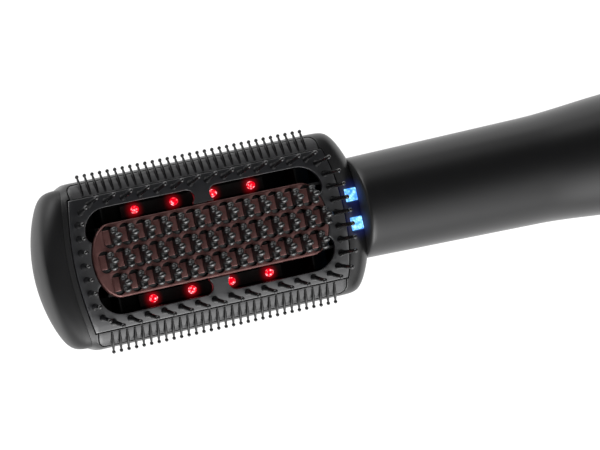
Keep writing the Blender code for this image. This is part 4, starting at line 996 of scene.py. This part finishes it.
# Handle
handle = dict(
    neck=.0218, taper=.0196, grip=.0270, tail=.0252, wall=.0022, start=.0687, end=.2600, swellStart=.1535,
    swellEnd=.2060, lip=.0016, lipSteps=(0, .3, .6, .9, 1.2, pi / 2), firstRow=.003, lastRow=.0004,
    rows=70, steps=160, endEdge=.00035, headGap=.0003, seatGrow=.0001, seatRows=(.0500, .0225, .0160,
    .0130, .0105, .0085, .0065, .0050, .0035, .0017, -.0003))


def handleRadius(x):
    # a straight taper, a swell into the grip, then a slight fall to the tail
    h = handle
    if x <= h["swellEnd"]:
        t = min(max((x - h["swellStart"]) / (h["swellEnd"] - h["swellStart"]), 0), 1)
        neckEnd = h["neck"] + h["taper"] * (h["swellEnd"] - h["start"])
        neck = h["neck"] + h["taper"] * (x - h["start"])
        return neck + (h["grip"] - neckEnd) * t * t * (3 - 2 * t)
    share = (x - h["swellEnd"]) / (h["end"] - h["swellEnd"])
    return h["grip"] - (h["grip"] - h["tail"]) * share * share


def handleShell():
    h = handle
    lip = [(h["neck"] - h["lip"] * (1 - sin(a)), h["start"] + h["lip"] * (1 - cos(a))) for a in h["lipSteps"]]
    first, last = h["start"] + h["firstRow"], h["end"] - h["lastRow"]
    stations = evenly(first, last, h["rows"])
    outer = [(0, h["start"])] + lip + [(handleRadius(x), x) for x in stations]
    outer += [(handleRadius(h["end"]) - h["endEdge"], h["end"])]
    endWall = head["end"] + h["headGap"]
    inner = [(handleRadius(x) - h["wall"], x) for x in [h["end"]] + stations[::-6] + [endWall]]
    work = moved(turned(outer + inner + [(0, endWall)], h["steps"]), alongX)
    return carved(work, [headForm([head["end"] - back for back in h["seatRows"]], 96, -h["seatGrow"])])


control = dict(
    x=.2380, length=.0350, width=.0130, corner=.9, gap=.0002, cut=(.0180, .0400), thickness=.0022,
    edge=.0003, rowsAcross=22, rowsAlong=14, slot=(.0070, .0030), bossX=.0158, bossRadius=.0014,
    boss=(.0179, .0250))


def controlOutline(grow=0.0):
    long, wide = control["length"] / 2 + grow, control["width"] / 2 + grow
    return [(control["x"] + x, y) for x, y in roundedBox(long, wide, wide * control["corner"], 10)]


shell = carved(handleShell(), [prism(controlOutline(control["gap"]), *control["cut"])])
finished("handleShell", shell, handleBlack, 30, ["handle_shell"])
print("handle made")

button = dict(radius=.0038, offset=.0095, gap=.00025, dish=.00035, dishWide=.78, flange=.0008,
              underSkin=.0009, stem=.0014)


def controlPlate():
    c = control
    holes = [arc((c["x"] + side * button["offset"], 0), button["radius"] + button["gap"], 0, 2 * pi, 40)[:-1]
             for side in (1, -1)]
    slotHole = [(c["x"] + sx * c["slot"][0] / 2, sy * c["slot"][1] / 2) for sx, sy in corners]
    work = plate([controlOutline()] + holes + [slotHole], c["thickness"], c["edge"])
    for axis, middle, size, count in ((1, 0, c["width"], c["rowsAcross"]),
                                      (0, c["x"], c["length"], c["rowsAlong"])):
        sliced(work, axis, evenly(middle - size / 2, middle + size / 2, count)[1:-1])
    for vert in work.verts:
        vert.co.z += sqrt(handleRadius(vert.co.x) ** 2 - vert.co.y ** 2) - c["thickness"] / 2
    boss = rod(c["bossRadius"], *c["boss"], 16)
    return copies(boss, [at(c["x"] + side * c["bossX"]) for side in (1, -1)], work)


finished("controlPlate", controlPlate(), glossBlack, 35, ["control_plate"])

mark = dict(radius=.0013, width=.00032, height=.00024, edge=.00004, openAngle=.55, lift=.00005,
            armLength=2.4, arms=3)


def powerMark():
    # the usual open ring with a bar in its gap
    m = mark
    outer = arc((0, 0), m["radius"] + m["width"] / 2, m["openAngle"], 2 * pi - m["openAngle"], 28)
    inner = arc((0, 0), m["radius"] - m["width"] / 2, 2 * pi - m["openAngle"], m["openAngle"], 28)
    bar = block((m["radius"], m["width"], m["height"]), (m["radius"] * .85, 0, 0), m["edge"])
    return copies(bar, onto=plate([outer + inner], m["height"], m["edge"]))


def coolMark():
    # a six-armed star, the usual sign for cool air
    bar = block((mark["radius"] * mark["armLength"], mark["width"], mark["height"]), edge=mark["edge"])
    return copies(bar, [Matrix.Rotation(pi * i / mark["arms"], 4, "Z") for i in range(mark["arms"])])


def roundButton(node, x):
    # dished crown, soft edge, then the flange and the stem that stay under the skin
    low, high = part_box(node)
    foot, crown = low[2] - axisZ, high[2] - axisZ
    radius, under = button["radius"], handleRadius(x) - handle["wall"] - button["underSkin"]
    wide, stem = radius + button["flange"], button["stem"]
    profile = [(radius * button["dishWide"] * i / 6, crown - button["dish"] * (1 - (i / 6) ** 2))
               for i in range(7)]
    profile += [(radius * .80, crown), (radius - .00045, crown - .00002), (radius - .00012, crown - .00016),
                (radius, crown - .0005), (radius, under), (wide, under), (wide, under - button["flange"]),
                (stem, under - button["flange"]), (stem, foot), (0, foot)]
    return moved(turned(profile, 48), at(x))


buttons = (("powerButton", "power_button", control["x"] + button["offset"]),
           ("coolShotButton", "cool_shot_button", control["x"] - button["offset"]))
for name, node, x in buttons:
    finished(name, roundButton(node, x), softBlack, 30, [node], node)
for (_, node, x), name, shape in zip(buttons, ("powerMark", "coolMark"), (powerMark(), coolMark())):
    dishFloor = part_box(node)[1][2] - axisZ - button["dish"]
    moved(shape, at(x, 0, dishFloor + mark["lift"]))
    finished(name, shape, whiteMoulding, 30, body=node)
print("controls made")


# Rear cap
rear = dict(start=.2603, end=.2755, face=.0165, wall=.0020, bore=.0065, boreEdge=.0003, slots=12,
            slotLength=.0090, slotWidth=.0018, slotHeight=.0200, slotEdge=.0004)


def quarterOval(across, along, count):
    # from the cap's side round to its face
    return [(rear["face"] + across * cos(a), rear["start"] + along * sin(a))
            for a in evenly(0, pi / 2, count)]


def rearCap():
    c = rear
    depth, wide = c["end"] - c["start"], handle["tail"] - c["face"]
    outer = quarterOval(wide, depth, 14)
    inner = quarterOval(wide - c["wall"], depth - c["wall"], 10)
    lip = (c["bore"], c["end"] - c["boreEdge"])
    profile = [lip, (c["bore"] + c["boreEdge"], c["end"])] + outer[::-1] + inner
    work = moved(turned(profile + [(c["bore"], c["end"] - c["wall"]), lip], 120), alongX)
    cutter = block((c["slotLength"], c["slotWidth"], c["slotHeight"]),
                   (c["end"] - c["wall"] - c["slotLength"] / 2, 0, handle["tail"]), c["slotEdge"])
    return carved(work, [copies(cutter, aroundX(c["slots"], .5))])


finished("rearCap", rearCap(), softBlack, 30, ["rear_cap"])

slider = dict(knob=(.0042, .0060, .0020), knobEdge=.0003, rise=.0004, stem=.0024, base=(.0042, .0040, .0010),
              ribs=4, ribWidth=.00036, ribPitch=.00088, ribTrim=.0010, ribEdge=.0001)


def modeSlider():
    # the knob with grip ribs on it, its stem and the foot under the skin
    low, high = (Vector(corner) - Vector((headX, 0, axisZ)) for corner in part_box("mode_slider"))
    s = slider
    x = (low.x + high.x) / 2
    long, wide, tall = s["knob"]
    knobLow = high.z - tall
    work = block((long, wide, tall - s["rise"]), (x, 0, knobLow + (tall - s["rise"]) / 2), s["knobEdge"])
    foot = block(s["base"], (x, 0, low.z + s["base"][2] / 2))
    stemLow, stemHigh = low.z + s["base"][2] / 2, knobLow + tall / 2
    stem = block((s["stem"], s["stem"], stemHigh - stemLow), (x, 0, (stemHigh + stemLow) / 2))
    bar = block((s["ribWidth"], wide - s["ribTrim"], s["rise"] * 2), (x, 0, high.z - s["rise"]), s["ribEdge"])
    ribs = copies(bar, [at(step) for step in spread(s["ribs"], s["ribPitch"])])
    return carved(work, [stem, foot, ribs], "UNION")


finished("modeSlider", modeSlider(), softBlack, 30, ["mode_slider"], "mode_slider")

# Grip ribs round the gland's nose
gland = dict(radius=.0062, ribs=14, ribSize=(.0022, .0007, .0006), ribEdge=.0002, fromNose=.0021)
nose = glandHigh[0] - headX - gland["fromNose"]
bar = block(gland["ribSize"], (nose, 0, gland["radius"]), gland["ribEdge"])
finished("glandRibs", copies(bar, aroundX(gland["ribs"])), combBlack, 30, body="cord_gland")
print("rear cap, slider and gland ribs made")

# Nodes that keep their shape get their finish
kept = (
    (mouldedBlack, ("air_guide", "ion_generator", "neck_coupler", "motor_holder", "impeller",
                    "power_switch", "cool_shot_switch", "cord_clamp")),
    (trayBlack, ("lamp_tray_left", "lamp_tray_right")),
    (lampBoardBlack, ("lamp_board_left", "lamp_board_right")),
    (boardGreen, ("ion_board", "control_board")),
    (wireSteel, ("heating_coil", "fan_motor", "motor_shaft", "filter_screen", "slide_switch")),
    (brassPart, ("ion_needle_left", "ion_needle_right")),
    (micaTan, ("heater_tube", "heater_frame")),
    (whiteMoulding, ("thermostat", "thermal_fuse")),
    (combBlack, ("cord_gland",)),
)
for finish, names in kept:
    for name in names:
        mesh = nodes[name].data
        mesh.materials.clear()
        mesh.materials.append(finish.material)
print("carried nodes finished")


# Stage, light and camera
stage = dict(floor=3, paint=(.82, .82, .82), glow=1.25, glowShare=.85, low=.02, focus=20.0)


def makeFloor():
    # white and bright to the camera and in reflections, plain paint to other light
    work = bmesh.new()
    bmesh.ops.create_grid(work, x_segments=2, y_segments=2, size=stage["floor"])
    floor = placed("floor", asMesh(work, "floor"))
    material = bpy.data.materials.new("floorPaint")
    material.use_nodes = True
    sheet = NodeSheet(material.node_tree)
    sheet.tree.nodes.remove(sheet.tree.nodes["Principled BSDF"])
    seen = 0.0
    for ray in ("Is Camera Ray", "Is Glossy Ray", "Is Transmission Ray"):
        seen = sheet.sum("MAXIMUM", seen, sheet.node("LightPath", out=ray))
    paint = sheet.node("BsdfDiffuse", {}, {"Color": stage["paint"]})
    glow = sheet.node("Emission", {}, {"Strength": seen * stage["glow"]})
    both = sheet.node("MixShader", {}, {0: stage["glowShare"], 1: paint, 2: glow})
    sheet.feed(sheet.tree.nodes["Material Output"].inputs["Surface"], both)
    floor.data.materials.append(material)


makeFloor()

# Soft lights round the brush: azimuth from +x, elevation, strength
softLights = dict(
    upperSide=(90, 14, 2.4), upperTip=(128, 12, 4.2), lowerHigh=(-90, 52, 1.6), lowerMiddle=(-90, 35, 3.0),
    lowerSide=(-90, 18, 4.0), lowerFloor=(-90, 3, 2.2), lowerTip=(-125, 16, 3.4), cordSide=(-25, 38, 1.8),
    overhead=(0, 90, .05))


def makeWorld():
    # the lights show on the brush, and the camera sees plain white
    world = bpy.data.worlds.new("studio")
    bpy.context.scene.world = world
    world.use_nodes = True
    sheet = NodeSheet(world.node_tree)
    place = sheet.node("TexCoord", out="Generated")
    total = stage["low"]
    for azimuth, elevation, strength in softLights.values():
        flat = cos(radians(elevation))
        aim = (flat * cos(radians(azimuth)), flat * sin(radians(azimuth)), sin(radians(elevation)))
        toward = sheet.node("VectorMath", {"operation": "DOT_PRODUCT"}, {0: place, 1: aim}, out="Value")
        total = sheet.sum("MAXIMUM", toward, 0.0) ** stage["focus"] * strength + total
    seen = sheet.node("LightPath", out="Is Camera Ray")
    back = sheet.tree.nodes["Background"]
    sheet.feed(back.inputs["Strength"], total * (1 - seen) + seen)
    sheet.feed(back.inputs["Color"], (1, 1, 1))


makeWorld()

camera = dict(location=(headX - .42692, .01054, axisZ + 1.25279), turn=(-.010, -.360, -.213), lens=188.92)
lens = bpy.data.cameras.new("camera")
lens.lens = camera["lens"]
lens.sensor_width = 36
lens.clip_end = 20
viewer = placed("camera", lens)
viewer.matrix_world = Matrix.LocRotScale(Vector(camera["location"]), Euler(camera["turn"], "ZYX"), None)
bpy.context.scene.camera = viewer
bpy.context.scene.view_settings.view_transform = "Standard"
bpy.data.collections.remove(workshop)
print("stage, light and camera set")
